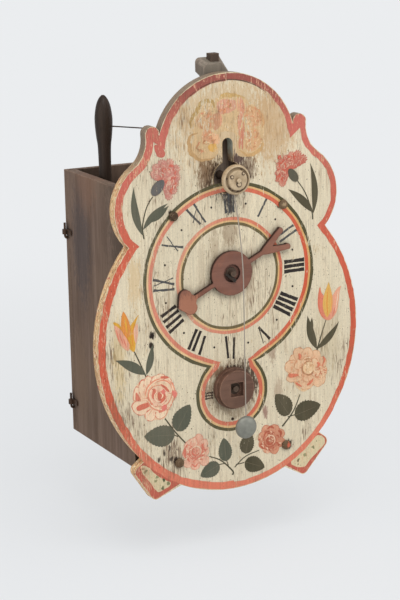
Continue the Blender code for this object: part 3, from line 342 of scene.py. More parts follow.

# %% [markdown]
# Dust and smoke settle in corners that nobody wipes, and shade falls there too. Ambient occlusion measures
# how closed in a point is, so the darkening finds the corners by itself where a drawn mask would miss some.
# It is dirt and painted shade together. Noise makes it patchy.

# %% Dirt and painted shade in corners
# The patches vary the corner darkening, dirt and painted shade alike.
PATCHY_DIRT_AND_SHADE = (0.5, 1.3)    # least and most dirt in the patches
corner_dirt_and_shade, taken, given = new_group(
    "corner_dirt_and_shade", [("Reach", "FLOAT", 0.01), ("Amount", "FLOAT", 0.6)], [("Mask", "FLOAT")],
)
openness = node(corner_dirt_and_shade, "ShaderNodeAmbientOcclusion", {"Distance": taken["Reach"]}, samples=6)
hidden = maths(corner_dirt_and_shade, "SUBTRACT", 1, openness.outputs["AO"])
patches = pattern(corner_dirt_and_shade, (60, 60, 60), 4)
patchy = spread(corner_dirt_and_shade, patches, *PATCHY_DIRT_AND_SHADE)
# This mask darkens corners with dirt and painted shade.
dirt = maths(corner_dirt_and_shade, "MULTIPLY", maths(corner_dirt_and_shade, "MULTIPLY", hidden, patchy), taken["Amount"])
corner_dirt_and_shade.links.new(maths(corner_dirt_and_shade, "MINIMUM", dirt, 1), given["Mask"])

# %% [markdown]
# ## Aged paint
# The painter laid a cream ground on the board and worked on it with thin colour. Since then the wood has
# moved, so the paint broke along the upright grain, lost small flakes and took up dirt. One group does
# this to any pigment. It reads only the place on the board, so a crack runs on from the ground through a
# petal, as it does in real paint.

# %% Aged paint group
FLAKE_START, FLAKE_GAIN = 0.72, 0.24  # level at which paint flakes, and how far full wear lowers it
FLAKE_STEP = 0.1            # from the first flaking to full loss
BARE_GAP, BARE_STEP = 0.11, 0.07  # bare wood shows this much above the flaking
SCRATCH_STEP, SPECK_STEP, RUN_STEP = (0.57, 0.74), (0.7, 0.77), (0.46, 0.78)
aged_paint, taken, given = new_group(
    "aged_paint",
    [("Pigment", "COLOUR", (0.7, 0.6, 0.4, 1)), ("Ground", "COLOUR", (0.7, 0.6, 0.4, 1)),
     ("Wood", "COLOUR", (0.2, 0.12, 0.07, 1)), ("Wear", "FLOAT", 0.3), ("Dirt", "FLOAT", 0.5)],
    [("Colour", "COLOUR"), ("Roughness", "FLOAT"), ("Height", "FLOAT")],
)


def centred(tree, value, size):
    """Noise shifted to swing evenly about zero."""
    return maths(tree, "MULTIPLY", maths(tree, "SUBTRACT", value, 0.5), size)


def dirty(mask):
    """A mark that shows as far as the paint is dirty."""
    return maths(aged_paint, "MULTIPLY", mask, taken["Dirt"])


flake_noise = pattern(aged_paint, (900, 900, 170), 4, 0.7)
patch_noise = pattern(aged_paint, (40, 40, 24), 4)
flake_level = maths(aged_paint, "ADD", flake_noise, centred(aged_paint, patch_noise, 0.6))
lowered = maths(aged_paint, "MULTIPLY", taken["Wear"], FLAKE_GAIN)
flake_start = maths(aged_paint, "SUBTRACT", FLAKE_START, lowered)
flake_end = maths(aged_paint, "ADD", flake_start, FLAKE_STEP)
flake = step_between(aged_paint, flake_level, flake_start, flake_end)
bare_start = maths(aged_paint, "ADD", flake_start, BARE_GAP)
bare_end = maths(aged_paint, "ADD", bare_start, BARE_STEP)
bare = step_between(aged_paint, flake_level, bare_start, bare_end)
cluster_noise = pattern(aged_paint, (30, 30, 14), 4, 0.6)
crowding = centred(aged_paint, cluster_noise, 0.9)
scratch_noise = pattern(aged_paint, (1250, 1250, 95), 3, 0.6)
scratch_level = maths(aged_paint, "ADD", scratch_noise, crowding)
scratch = dirty(step_between(aged_paint, scratch_level, *SCRATCH_STEP))
speck_noise = pattern(aged_paint, (760, 760, 480), 1)
speck = dirty(step_between(aged_paint, speck_noise, *SPECK_STEP))
run_noise = pattern(aged_paint, (420, 420, 18), 5, 0.7)
run_level = maths(aged_paint, "ADD", run_noise, centred(aged_paint, cluster_noise, 0.5))
run = dirty(step_between(aged_paint, run_level, *RUN_STEP))

# %% [markdown]
# Old paint is never one tone. It has darkened in large soft areas, in fine upright lines and in grains of
# dirt, and these multiply the pigment. The marks then go over it in the order in which they came: flakes,
# bare wood, brown runs, scratches and specks.

# %% Tone of the paint
RUN_STRENGTH = 0.55
RIDGE_HEIGHT = 0.5          # of the upright lines, against a flake's depth
drift = pattern(aged_paint, (13, 13, 8), 5, 0.6)
tone = spread(aged_paint, drift, 0.82, 1.14)
lines = pattern(aged_paint, (700, 700, 24), 4, 0.65)
grit = pattern(aged_paint, (1250, 1250, 700), 2, 0.6)
streaked = maths(aged_paint, "MULTIPLY", tone, spread(aged_paint, lines, 0.72, 1.24))
shade = maths(aged_paint, "MULTIPLY", streaked, spread(aged_paint, grit, 0.76, 1.22))
kept = mixed(aged_paint, flake, taken["Pigment"], taken["Ground"])
toned = mixed(aged_paint, 1, kept, shade, "MULTIPLY")
chipped = mixed(aged_paint, bare, toned, taken["Wood"])
stained_paint = mixed(aged_paint, maths(aged_paint, "MULTIPLY", run, RUN_STRENGTH), chipped, taken["Wood"])
scratched = mixed(aged_paint, scratch, stained_paint, srgb(104, 78, 60))
aged_paint.links.new(mixed(aged_paint, speck, scratched, srgb(70, 52, 40)), given["Colour"])
aged_paint.links.new(spread(aged_paint, flake, 0.52, 0.72), given["Roughness"])
loss = maths(aged_paint, "ADD", flake, bare)
ridges = maths(aged_paint, "MULTIPLY", lines, RIDGE_HEIGHT)
aged_paint.links.new(maths(aged_paint, "SUBTRACT", ridges, loss), given["Height"])
print("aged paint:", len(aged_paint.nodes), "nodes")

# %% [markdown]
# A stain has no outline, so it is not a stroke but a mask in the ground paint: it fades away from a
# centre and breaks up along the grain. The same soft patch also lays painted shade and painted light.

# %% Soft patch group for stains, painted shade and painted light
STAIN_FADE = 0.34           # loss of strength from the centre to the edge of its half sizes
STAIN_STEP = (0.12, 0.32)
soft_patch_mask, taken, given = new_group(
    "soft_patch_mask",
    [("Centre", "VECTOR", (0, 0, 0)), ("Shape", "VECTOR", (1, 0, 1)), ("Amount", "FLOAT", 0.5)],
    [("Mask", "FLOAT")],
)
where = node(soft_patch_mask, "ShaderNodeTexCoord").outputs["Object"]
offset = vector_maths(soft_patch_mask, "SUBTRACT", where, taken["Centre"])[0]
scaled = vector_maths(soft_patch_mask, "MULTIPLY", offset, taken["Shape"])[0]
reach = vector_maths(soft_patch_mask, "LENGTH", scaled)["Value"]
ragged = pattern(soft_patch_mask, (560, 560, 150), 5, 0.75)
level = maths(soft_patch_mask, "SUBTRACT", ragged, maths(soft_patch_mask, "MULTIPLY", reach, STAIN_FADE))
mask = step_between(soft_patch_mask, level, *STAIN_STEP)
soft_patch_mask.links.new(maths(soft_patch_mask, "MULTIPLY", mask, taken["Amount"]), given["Mask"])

# %% [markdown]
# ## Woods
# The case is dry, darkened softwood, the frame and wheels are bare hardwood, and the hand is stained red.
# They differ in colour, in which way the grain runs and in how far the edges are rubbed, so one function
# makes them all from the shared groups.

# %% Wood material
BUMP_HEIGHT = 0.0004        # m
PORE_STRENGTH = 0.5
TINT_STRENGTH, TINT_STEP = 0.6, (0.4, 0.64)
BLOTCH_TONES = (0.72, 1.24)
FACING_STEP = (0.6, 0.97)   # from a flank to a face that looks straight forward or back
RUBBED_WIDTH = 0.0016       # m


def bump(tree, shader, height, strength, distance=BUMP_HEIGHT):
    inputs = {"Height": height, "Strength": strength, "Distance": distance}
    tree.links.new(node(tree, "ShaderNodeBump", inputs).outputs[0], shader.inputs["Normal"])


def wood(
    name, dark, light, tint, rubbed, stretch, roughness,
    wear=0.6, dirt=0.6, reach=0.012, spots=(), painted_flank_shade=None,
):
    """Grain between two colours, patches of a third tint, rubbed edges and darkened corners.

    Spots are stains of their own colour. The flank shade, if given, is a painted shade on faces that do not
    look forward. The corners darken with dirt and painted shade, as far as dirt and reach say.
    """
    material, tree, shader = new_material(name)
    cut = use_group(tree, grain, Stretch=stretch)
    body = mixed(tree, cut["Streaks"], dark, light)
    pored = mixed(tree, maths(tree, "MULTIPLY", cut["Pores"], PORE_STRENGTH), body, dark)
    patches = step_between(tree, pattern(tree, (16, 16, 7), 5, 0.6), *TINT_STEP)
    tinted = mixed(tree, maths(tree, "MULTIPLY", patches, TINT_STRENGTH), pored, tint)
    blotch = pattern(tree, (34, 34, 17), 4)
    blotched = mixed(tree, 1, tinted, spread(tree, blotch, *BLOTCH_TONES), "MULTIPLY")
    for centre, shape, amount, colour in spots:
        spot = use_group(tree, soft_patch_mask, Centre=centre, Shape=shape, Amount=amount)["Mask"]
        blotched = mixed(tree, spot, blotched, colour)
    # Painted shade: faces that do not look forward take the flank shade.
    if painted_flank_shade:
        normal = node(tree, "ShaderNodeTexCoord").outputs["Normal"]
        forward = node(tree, "ShaderNodeSeparateXYZ", {0: normal}).outputs["Y"]
        facing = step_between(tree, maths(tree, "ABSOLUTE", forward), *FACING_STEP)
        blotched = mixed(tree, facing, painted_flank_shade, blotched)
    edges = use_group(tree, worn_edges, Width=RUBBED_WIDTH, Amount=wear)["Mask"]
    # Corner darkening, dirt and painted shade, laid in dark brown.
    dirt_and_shade = use_group(tree, corner_dirt_and_shade, Reach=reach, Amount=dirt)["Mask"]
    finished = mixed(tree, dirt_and_shade, mixed(tree, edges, blotched, rubbed), srgb(30, 23, 18))
    tree.links.new(finished, shader.inputs["Base Color"])
    gloss = spread(tree, cut["Streaks"], roughness + 0.08, roughness - 0.06)
    tree.links.new(gloss, shader.inputs["Roughness"])
    bump(tree, shader, cut["Height"], strength=0.4)
    return material


# %% [markdown]
# The boards of the case and frame are sawn along the tree, so their grain is long and plain. The sides have
# water stains, which are given as places on the board, because a stain doesn't follow the grain.

# %% Case and frame woods
UPRIGHT = (300, 300, 16)    # the way the grain runs, in features per metre
CROSSWISE = (12, 260, 260)

SIDE_STAINS = (             # centre, shape as one over its half sizes, strength, colour
    ((-0.09, -0.035, 0.015), (8, 45, 16), 0.75, srgb(84, 74, 72)),
    ((-0.09, -0.05, 0.085), (8, 40, 22), 0.6, srgb(140, 106, 86)),
    ((-0.09, -0.02, -0.11), (8, 50, 20), 0.5, srgb(132, 108, 88)),
    ((-0.09, -0.125, 0.06), (8, 28, 10), 0.8, srgb(92, 76, 64)),
    ((0.09, -0.07, -0.02), (8, 26, 9), 0.55, srgb(94, 78, 68)),
)
# The case, frame and plates darken far into corners and the inside: dirt and painted shade.
case_wood = wood(
    "case_wood", srgb(102, 82, 69), srgb(132, 109, 94), srgb(128, 106, 88), srgb(160, 134, 112),
    UPRIGHT, 0.72, wear=0.8, dirt=1.4, reach=0.05, spots=SIDE_STAINS,
)
frame_wood = wood(
    "frame_wood", srgb(84, 67, 56), srgb(118, 97, 82), srgb(120, 110, 98), srgb(150, 126, 104),
    CROSSWISE, 0.72, dirt=1.3, reach=0.05,
)
plate_wood = wood(
    "plate_wood", srgb(104, 78, 54), srgb(146, 114, 80), srgb(130, 106, 82), srgb(174, 144, 106),
    UPRIGHT, 0.7, dirt=1.4, reach=0.05,
)
grey_plate_wood = wood(
    "grey_plate_wood", srgb(168, 164, 150), srgb(204, 200, 186), srgb(180, 178, 164), srgb(214, 208, 192),
    UPRIGHT, 0.8, dirt=0.2,
)
post_wood = wood(
    "post_wood", srgb(122, 108, 98), srgb(160, 144, 130), srgb(144, 138, 122), srgb(178, 162, 146),
    UPRIGHT, 0.76,
)
dark_peg_wood = wood(
    "dark_peg_wood", srgb(66, 52, 43), srgb(98, 80, 67), srgb(88, 74, 62), srgb(140, 116, 96), UPRIGHT, 0.68,
)
print("six woods for the case and frame")

# %% [markdown]
# Wheels, arbors and pegs were cut and turned from harder wood with a closer grain. The hand and the disc
# were stained red. The hand is pale where it was rubbed. Its flanks and its edges are painted dark: painted
# shade.

# %% Woods of the turned and cut pieces
DEEPWISE = (300, 14, 300)
FINE_UPRIGHT = (520, 520, 30)
CLUB_GRAIN = (420, 420, 16)
wheel_wood = wood(
    "wheel_wood", srgb(128, 94, 58), srgb(176, 138, 92), srgb(160, 130, 96), srgb(190, 158, 114),
    FINE_UPRIGHT, 0.62,
)
arbor_wood = wood(
    "arbor_wood", srgb(112, 82, 54), srgb(152, 118, 82), srgb(132, 108, 84), srgb(176, 146, 108),
    DEEPWISE, 0.6,
)
PALE_HEART = ((-0.042, 0, -0.024), (75, 0, 75), 0.7, srgb(172, 116, 90))
DARK_HUB = ((0, 0, 0), (48, 0, 48), 0.5, srgb(116, 84, 74))
# Painted shade: the hand's dark edge colour and its dark flank shade.
hand_wood = wood(
    "hand_wood", srgb(114, 74, 60), srgb(142, 97, 80), srgb(150, 104, 86), srgb(74, 50, 42),
    CROSSWISE, 0.58, wear=0.8, dirt=0.9, reach=0.006, spots=(DARK_HUB, PALE_HEART), painted_flank_shade=srgb(70, 47, 39),
)
disc_wood = wood(
    "disc_wood", srgb(84, 59, 48), srgb(110, 80, 66), srgb(120, 92, 76), srgb(164, 128, 106),
    CROSSWISE, 0.5, wear=0.7, dirt=0.35, reach=0.006,
)
club_wood = wood(
    "club_wood", srgb(46, 36, 29), srgb(76, 60, 49), srgb(66, 52, 44), srgb(104, 84, 68),
    CLUB_GRAIN, 0.42, dirt=0.4,
)
PALE_END = ((0.0525, 0, 0.0545), (480, 0, 480), 0.8, srgb(170, 146, 114))
RED_REST = ((0.0543, 0, -0.1628), (380, 0, 330), 0.95, srgb(196, 96, 70))
dial_peg_wood = wood(
    "dial_peg_wood", srgb(62, 46, 34), srgb(108, 84, 60), srgb(116, 94, 70), srgb(176, 152, 118),
    DEEPWISE, 0.62, wear=1, dirt=1, spots=(PALE_END, RED_REST),
)
print("six more woods")

# %% [markdown]
# ## Iron, pewter and bone
# The hooks, wires and pallets are hand-forged iron with a dark skin and some rust. The pendulum's wire is
# drawn and bright, and the bob is cast pewter, soft and grey. They need two functions, because a forged
# skin breaks up into rust, and a soft metal only goes dull.

# %% Metals
SKIN_DEPTH = 0.0002         # of the bump in metal and bone, m
RUST_START, RUST_GAIN, RUST_STEP = 0.62, 0.4, 0.16
DULL_SWING, GLOSS_SWING = 0.15, 0.1


def forged_iron(name, rusted_share):
    """Iron with a dark skin. The share of rust goes from none to all of it."""
    material, tree, shader = new_material(name)
    scale = pattern(tree, (420, 420, 420), 5, 0.65)
    patches = pattern(tree, (150, 150, 150), 4, 0.6)
    least = RUST_START - RUST_GAIN * rusted_share
    rust = step_between(tree, patches, least, least + RUST_STEP)
    skin = mixed(tree, scale, srgb(36, 32, 29), srgb(70, 63, 57))
    edges = use_group(tree, worn_edges, Width=0.0006, Amount=0.5)["Mask"]
    rusted = mixed(tree, edges, mixed(tree, rust, skin, srgb(78, 58, 45)), srgb(112, 100, 88))
    tree.links.new(rusted, shader.inputs["Base Color"])
    tree.links.new(spread(tree, rust, 0.6, 0.1), shader.inputs["Metallic"])
    tree.links.new(spread(tree, scale, 0.36, 0.66), shader.inputs["Roughness"])
    bump(tree, shader, scale, strength=0.4, distance=SKIN_DEPTH)
    return material


def soft_metal(name, dark, light, roughness, metallic):
    """A mottled grey metal with dull patches."""
    material, tree, shader = new_material(name)
    mottled = pattern(tree, (230, 230, 230), 5, 0.6)
    dull = pattern(tree, (80, 80, 80), 3)
    tree.links.new(mixed(tree, mottled, dark, light), shader.inputs["Base Color"])
    bright = spread(tree, dull, metallic - DULL_SWING, metallic + DULL_SWING)
    tree.links.new(bright, shader.inputs["Metallic"])
    gloss = spread(tree, mottled, roughness - GLOSS_SWING, roughness + GLOSS_SWING)
    tree.links.new(gloss, shader.inputs["Roughness"])
    bump(tree, shader, mottled, strength=0.25, distance=SKIN_DEPTH)
    return material


iron = forged_iron("forged_iron", rusted_share=0.4)
hinge_iron = forged_iron("hinge_iron", rusted_share=0.8)
pewter = soft_metal("cast_pewter", srgb(106, 106, 98), srgb(152, 152, 142), roughness=0.46, metallic=0.4)
drawn_wire = soft_metal("drawn_wire", srgb(146, 136, 124), srgb(176, 166, 154), roughness=0.42, metallic=0.3)
print("iron, hinge iron, pewter and wire")

# %% [markdown]
# The knob on the pendulum's arbor is turned bone. Bone has a fine grain like wood, so the same group serves
# with closer streaks. The turned grooves are dark with dirt and painted shade, and the rims are polished
# pale.

# %% Bone
bone, tree, shader = new_material("turned_bone", 0.4)
cut = use_group(tree, grain, Stretch=(500, 120, 500))
pale = mixed(tree, cut["Streaks"], srgb(172, 149, 117), srgb(202, 180, 147))
edges = use_group(tree, worn_edges, Width=0.0008, Amount=0.7)["Mask"]
dirt_and_shade = use_group(tree, corner_dirt_and_shade, Reach=0.003, Amount=1.15)["Mask"]
rubbed = mixed(tree, edges, pale, srgb(232, 216, 186))
# Grooves go dark brown: dirt and painted shade.
tree.links.new(mixed(tree, dirt_and_shade, rubbed, srgb(96, 74, 50)), shader.inputs["Base Color"])
tree.links.new(spread(tree, cut["Streaks"], 0.48, 0.36), shader.inputs["Roughness"])
bump(tree, shader, cut["Height"], strength=0.15, distance=SKIN_DEPTH)
print("turned bone:", len(tree.nodes), "nodes")

# %% [markdown]
# ## Dressing the solids
# Every solid gets the finish it has on the clock. A small bevel breaks each sharp edge, as a plane or a
# knife does, so that edges catch the light.

# %% Finish and bevel each solid
FINISHES = {
    case_wood: ("back_board", "left_door", "right_door"),
    frame_wood: ("top_board", "bottom_board"),
    dark_peg_wood: ("bell_peg", "hour_arbor", "going_great_arbor", "pendulum_arbor"),
    grey_plate_wood: ("front_plate",),
    plate_wood: (
        "middle_plate", "rear_plate", "rear_cock", "going_rope_pulley", "strike_rope_pulley",
    ),
    wheel_wood: (
        "hour_wheel", "intermediate_wheel", "going_great_wheel", "second_wheel", "third_wheel",
        "escape_wheel", "strike_great_wheel", "strike_second_wheel", "count_wheel", "fly_vane",
    ),
    arbor_wood: (
        "intermediate_arbor", "second_arbor", "third_arbor",
        "escape_arbor", "strike_great_arbor", "strike_second_arbor", "fly_arbor", "count_stud",
    ),
    hand_wood: ("hour_hand",),
    disc_wood: ("quarter_disc",),
    dial_peg_wood: (
        "dial_peg_upper_left", "dial_peg_upper_right", "dial_peg_lower_left", "dial_peg_lower_right",
    ),
    iron: ("hour_hand_wedge", "pallet_anchor", "hammer_wire", "hammer_head", "hammer_tail"),
    hinge_iron: (
        "left_hook_upper", "left_hook_lower", "right_hook_upper", "right_hook_lower",
        "left_eye_upper", "left_eye_lower", "right_eye_upper", "right_eye_lower",
    ),
}
BEVELS = {
    0.0008: (
        "back_board", "left_door", "right_door", "top_board", "bottom_board", "dial_shield",
    ),
    0.0005: (
        "hour_hand", "quarter_disc", "front_plate", "middle_plate", "rear_plate", "rear_cock", "bell_peg",
    ),
    0.0002: ("hour_hand_wedge", "hammer_tail", "fly_vane"),
}


def coat(name, material):
    mesh = nodes[name].data
    mesh.materials.clear()
    mesh.materials.append(material)


def soften(item, width):
    edge_bevel = item.modifiers.new("broken_edges", "BEVEL")
    edge_bevel.width = width
    edge_bevel.segments = 2
    edge_bevel.limit_method = "ANGLE"
    edge_bevel.angle_limit = math.radians(40)
    edge_bevel.harden_normals = True


for material, names in FINISHES.items():
    for name in names:
        coat(name, material)
for width, names in BEVELS.items():
    for name in names:
        soften(nodes[name], width)
print(f"{sum(len(names) for names in FINISHES.values())} solids finished")

# %% [markdown]
# ## Turned pieces
# The hammer's upright, the knob and the bob came from a lathe or a round mould. A lathe is easy to copy:
# a run of (level, radius) pairs is swept round an axis. More steps than the solid model has give the
# round a smooth outline.

# %% Lathe helpers
SHARP_ANGLE = 35            # degrees; an edge that turns more stays sharp


def flowing(knots, steps=6):
    """A smooth run through a few knots."""
    padded = [knots[0], *knots, knots[-1]]
    points = []
    for a, b, c, d in zip(padded, padded[1:], padded[2:], padded[3:]):
        for step in range(steps):
            t = step / steps
            weights = (
                -0.5 * t + t * t - 0.5 * t ** 3, 1 - 2.5 * t * t + 1.5 * t ** 3,
                0.5 * t + 2 * t * t - 1.5 * t ** 3, -0.5 * t * t + 0.5 * t ** 3,
            )
            points.append(tuple(sum(w * p[i] for w, p in zip(weights, (a, b, c, d))) for i in (0, 1)))
    points.append(tuple(knots[-1]))
    return points


def add_piece(name, bm, material, body, stands_for):
    """Turns a bmesh into a piece that rides on a body and may stand for a solid."""
    bmesh.ops.recalc_face_normals(bm, faces=bm.faces)
    mesh = bpy.data.meshes.new(name)
    bm.to_mesh(mesh)
    bm.free()
    mesh.materials.append(material)
    mesh.shade_smooth()
    mesh.set_sharp_from_angle(angle=math.radians(SHARP_ANGLE))
    item = bpy.data.objects.new(name, mesh)
    bpy.context.collection.objects.link(item)
    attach(item, body)
    if stands_for:
        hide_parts(stands_for)
    return item


def lathe(name, material, centre, profile, axis, body, stands_for=None, sides=56):
    """Sweeps a profile of (level, radius) pairs round an upright axis or one that runs front to back."""
    bm = bmesh.new()
    rings = []
    for level, radius in profile:
        corners = []
        for number in range(sides):
            angle = 2 * math.pi * number / sides
            first = centre[0] + radius * math.cos(angle)
            second = centre[1] + radius * math.sin(angle)
            corners.append(bm.verts.new((first, level, second) if axis == "Y" else (first, second, level)))
        rings.append(corners)
    for near, far in zip(rings, rings[1:]):
        for number in range(sides):
            following = (number + 1) % sides
            bm.faces.new((near[number], near[following], far[following], far[number]))
    bm.faces.new(rings[0])
    bm.faces.new(rings[-1])
    return add_piece(name, bm, material, body, stands_for)


def middle(name):
    low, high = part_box(name)
    return (low + high) / 2


# %% [markdown]
# The upright that carries the bell hammer swells to a club at its top. A smooth run through a few knots
# gives its profile, as a turner feels the curve.

# %% Hammer upright
PIVOT_RADIUS = 0.0025
SHAFT_RADIUS = 0.0055
CLUB_RADIUS = 0.0079
CLUB_LENGTH = 0.062
CLUB_SHARES = (             # of the club's length and radius
    (0, 0.69), (0.27, 0.74), (0.39, 0.86), (0.52, 0.96), (0.63, 1), (0.72, 0.97), (0.84, 0.82),
    (0.92, 0.61), (0.97, 0.38), (1, 0.15),
)
low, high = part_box("hammer_arbor")
upright = middle("hammer_arbor")
profile = [(low.z, PIVOT_RADIUS), (low.z + PIVOT_RADIUS, SHAFT_RADIUS)]
for share, girth in flowing(CLUB_SHARES, 4):
    profile.append((high.z - (1 - share) * CLUB_LENGTH, girth * CLUB_RADIUS))
lathe("hammer_upright", club_wood, (upright.x, upright.y), profile, "Z", "hammer", "hammer_arbor", 40)
print("hammer upright:", len(profile), "rings")

# %% [markdown]
# The knob hides the end of the pendulum's arbor. It has a deep groove and a raised ring, a cap, three studs
# in dark collars and worn nicks. The nicks could be cut into the mesh, but dark plugs look the same and
# keep the turned mesh clean: their dark wood is painted shade, the shade inside a cut.

# %% Knob
PIVOT_Z = 0.083             # the pendulum's pivot above the hand's axis, m
KNOB = (                    # mm behind the front, share of the radius
    (7.7, 0.3), (7.7, 0.93), (7.2, 0.985), (6, 1), (4.6, 0.985), (3.6, 0.95), (3, 0.9), (2.9, 0.86),
    (3.4, 0.82), (4.2, 0.79), (4.4, 0.74), (3.9, 0.7), (2.2, 0.675), (1.2, 0.65), (0.9, 0.61), (0.8, 0.55),
    (1.2, 0.3), (1.4, 0.02),
)
KNOB_STUDS = (              # x, z, radius in mm
    (-6, 3.3, 1), (4.8, 5.6, 0.9), (0.6, -3.4, 1.7),
)
CAP_RADIUS = 2              # mm
DOME = ((2, 1), (0.2, 1), (-0.2, 0.8), (-0.4, 0.2))  # mm behind the front, share of the radius
CAP_DOME = ((2, 1), (-0.7, 1), (-1.1, 0.8), (-1.25, 0.2))
COLLAR_WIDTH, COLLAR_DEPTHS = 0.75, (2, 0.55)  # round each stud, and mm behind the front
GROOVE_RADIUS = 9.6         # mm
GROOVE_NICKS = (-136, -114, -84, -62, -20, 8, 62, 168)  # degrees
NICK_RADIUS, NICK_DEPTHS = 0.7, (5, 3.4)  # mm
STUD_SIDES, NICK_SIDES = 18, 10
low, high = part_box("pendulum_knob")
knob_front = low.y
knob_radius = (high.z - low.z) / 2


def knob_detail(name, material, x, z, profile, sides):
    """A small round on the knob, from a profile in mm behind the knob's front."""
    turned = [(knob_front + deep * MM, radius * MM) for deep, radius in profile]
    lathe(name, material, (x * MM, PIVOT_Z + z * MM), turned, "Y", "pendulum", sides=sides)


profile = [(knob_front + depth * MM, girth * knob_radius) for depth, girth in KNOB]
lathe("bone_knob", bone, (0, PIVOT_Z), profile, "Y", "pendulum", "pendulum_knob")
knob_detail("knob_cap", bone, 0, 0, [(deep, share * CAP_RADIUS) for deep, share in CAP_DOME], STUD_SIDES)
for number, (x, z, radius) in enumerate(KNOB_STUDS):
    dome = [(deep, share * radius) for deep, share in DOME]
    knob_detail(f"knob_stud_{number + 1}", bone, x, z, dome, STUD_SIDES)
    collar = [(deep, radius + COLLAR_WIDTH) for deep in COLLAR_DEPTHS]
    knob_detail(f"knob_collar_{number + 1}", dark_peg_wood, x, z, collar, STUD_SIDES)
# Dark plugs in the groove: painted shade for the nicks.
nick = [(deep, NICK_RADIUS) for deep in NICK_DEPTHS]
for number, angle in enumerate(GROOVE_NICKS):
    x = GROOVE_RADIUS * math.cos(math.radians(angle))
    z = GROOVE_RADIUS * math.sin(math.radians(angle))
    knob_detail(f"knob_nick_{number + 1}", dark_peg_wood, x, z, nick, NICK_SIDES)
print(f"knob {2 * knob_radius / MM:.0f} mm across")

# %% [markdown]
# The bob was cast in a round mould, so both faces bulge and the rim is full. A power of the cosine gives
# such a section with one number for its fullness.

# %% Bob
BOB_STEPS = 16
BOB_ANGLE = 86              # from the rim to the last ring, degrees
BOB_FULLNESS = 0.8          # 1 is an egg, less is fuller
low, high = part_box("pendulum_bob")
bob_radius = (high.z - low.z) / 2
bob_middle = middle("pendulum_bob")
profile = []
for step in range(BOB_STEPS + 1):
    angle = math.radians(-BOB_ANGLE + 2 * BOB_ANGLE * step / BOB_STEPS)
    level = bob_middle.y + (high.y - low.y) / 2 * math.sin(angle)
    profile.append((level, bob_radius * math.cos(angle) ** BOB_FULLNESS))
lathe("pewter_bob", pewter, (bob_middle.x, bob_middle.z), profile, "Y", "pendulum", "pendulum_bob")
print(f"bob {2 * bob_radius / MM:.0f} mm across")

# %% [markdown]
# ## Bell post
# The post that carried the bell is one piece of grey wood. Its head was sawn by eye: the back of it stands
# higher than the front and keeps more of its right corner. The solid has a straight head, so a copy of its
# mesh, with the back of the head drawn up, stands for it.

# %% Bell post
HEAD_REACH = 0.017          # of the head and the flare under it, down from the top
CREST = 0.0042              # the back of the head stands this far above the front
BACK_CORNER = 0.01          # from the middle to the top right corner, at the back
ON_TOP = 0.0001             # a corner this close to the top lies on it
POST_BEVEL = 0.0008
low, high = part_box("bell_post")
bm = bmesh.new()
bm.from_mesh(nodes["bell_post"].data)
for corner in bm.verts:
    if corner.co.y > (low.y + high.y) / 2 and corner.co.z > high.z - HEAD_REACH:
        if corner.co.x > 0 and corner.co.z > high.z - ON_TOP:
            corner.co.x = BACK_CORNER
        corner.co.z += CREST
soften(add_piece("crested_post", bm, post_wood, "frame", "bell_post"), POST_BEVEL)
print(f"bell post {(high.z + CREST - low.z) / MM:.0f} mm high")

# %% [markdown]
# The pendulum's rod is drawn wire. It leaves the arbor behind the knob, comes forward in a bow and hangs
# straight to the bob. A curve with a round bevel follows the same path as the solid and stays smooth.

# %% Pendulum wire
WIRE_RADIUS = 0.0005
WIRE_BEND, BEND_STEPS = 0.08, 14
WIRE_END = 0.9              # the wire enters the bob at this share of its radius
wire_low, wire_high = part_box("pendulum_wire")
hang_y = wire_low.y + WIRE_RADIUS
back_y = wire_high.y - 2 * WIRE_RADIUS
bend_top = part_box("pendulum_knob")[0].z
path = [Vector((0, back_y, wire_high.z - WIRE_RADIUS))]
for step in range(BEND_STEPS + 1):
    remaining = 1 - step / BEND_STEPS
    deep = hang_y + remaining ** 2 * (back_y - hang_y)
    path.append(Vector((0, deep, bend_top - (1 - remaining) * WIRE_BEND)))
path.append(Vector((0, hang_y, bob_middle.z + WIRE_END * bob_radius)))

curve = bpy.data.curves.new("pendulum_rod", "CURVE")
curve.dimensions = "3D"
curve.bevel_depth = WIRE_RADIUS
curve.bevel_resolution = 3
curve.use_fill_caps = True
spline = curve.splines.new("POLY")
spline.points.add(len(path) - 1)
for knot, point in zip(spline.points, path):
    knot.co = (*point, 1)
curve.materials.append(drawn_wire)
rod = bpy.data.objects.new("pendulum_rod", curve)
bpy.context.collection.objects.link(rod)
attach(rod, "pendulum")
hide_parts("pendulum_wire")
print(f"pendulum rod: {(wire_high.z - wire_low.z) / MM:.0f} mm tall")

# %% [markdown]
# ## Brush strokes
# The painting is made of strokes. A stroke is a thin closed plate that follows an outline on the dial and
# carries its pigment as a colour attribute. The whole painting could be one big shader, but strokes keep
# their place and outline when the clock is exported, and each flower stays easy to change. Every stroke
# lies a few thousandths of a millimetre higher than the one before, so the later stroke always shows.
# Places are in millimetres from the middle of the painted rings, x to the right and z up.

# %% Stroke helpers
ROOT = 0.05                 # a stroke reaches this far into the board, mm
FIRST_COAT = 0.03           # how far the first stroke of a sheet stands proud of the board, mm
COAT = 0.004                # how much each later stroke rises, mm


def new_sheet(level=FIRST_COAT):
    return {"points": [], "faces": [], "pigments": [], "level": level}


def on_dial(x, z, lift):
    return (x * MM, DIAL_FRONT - lift * MM, z * MM - RING_DROP)


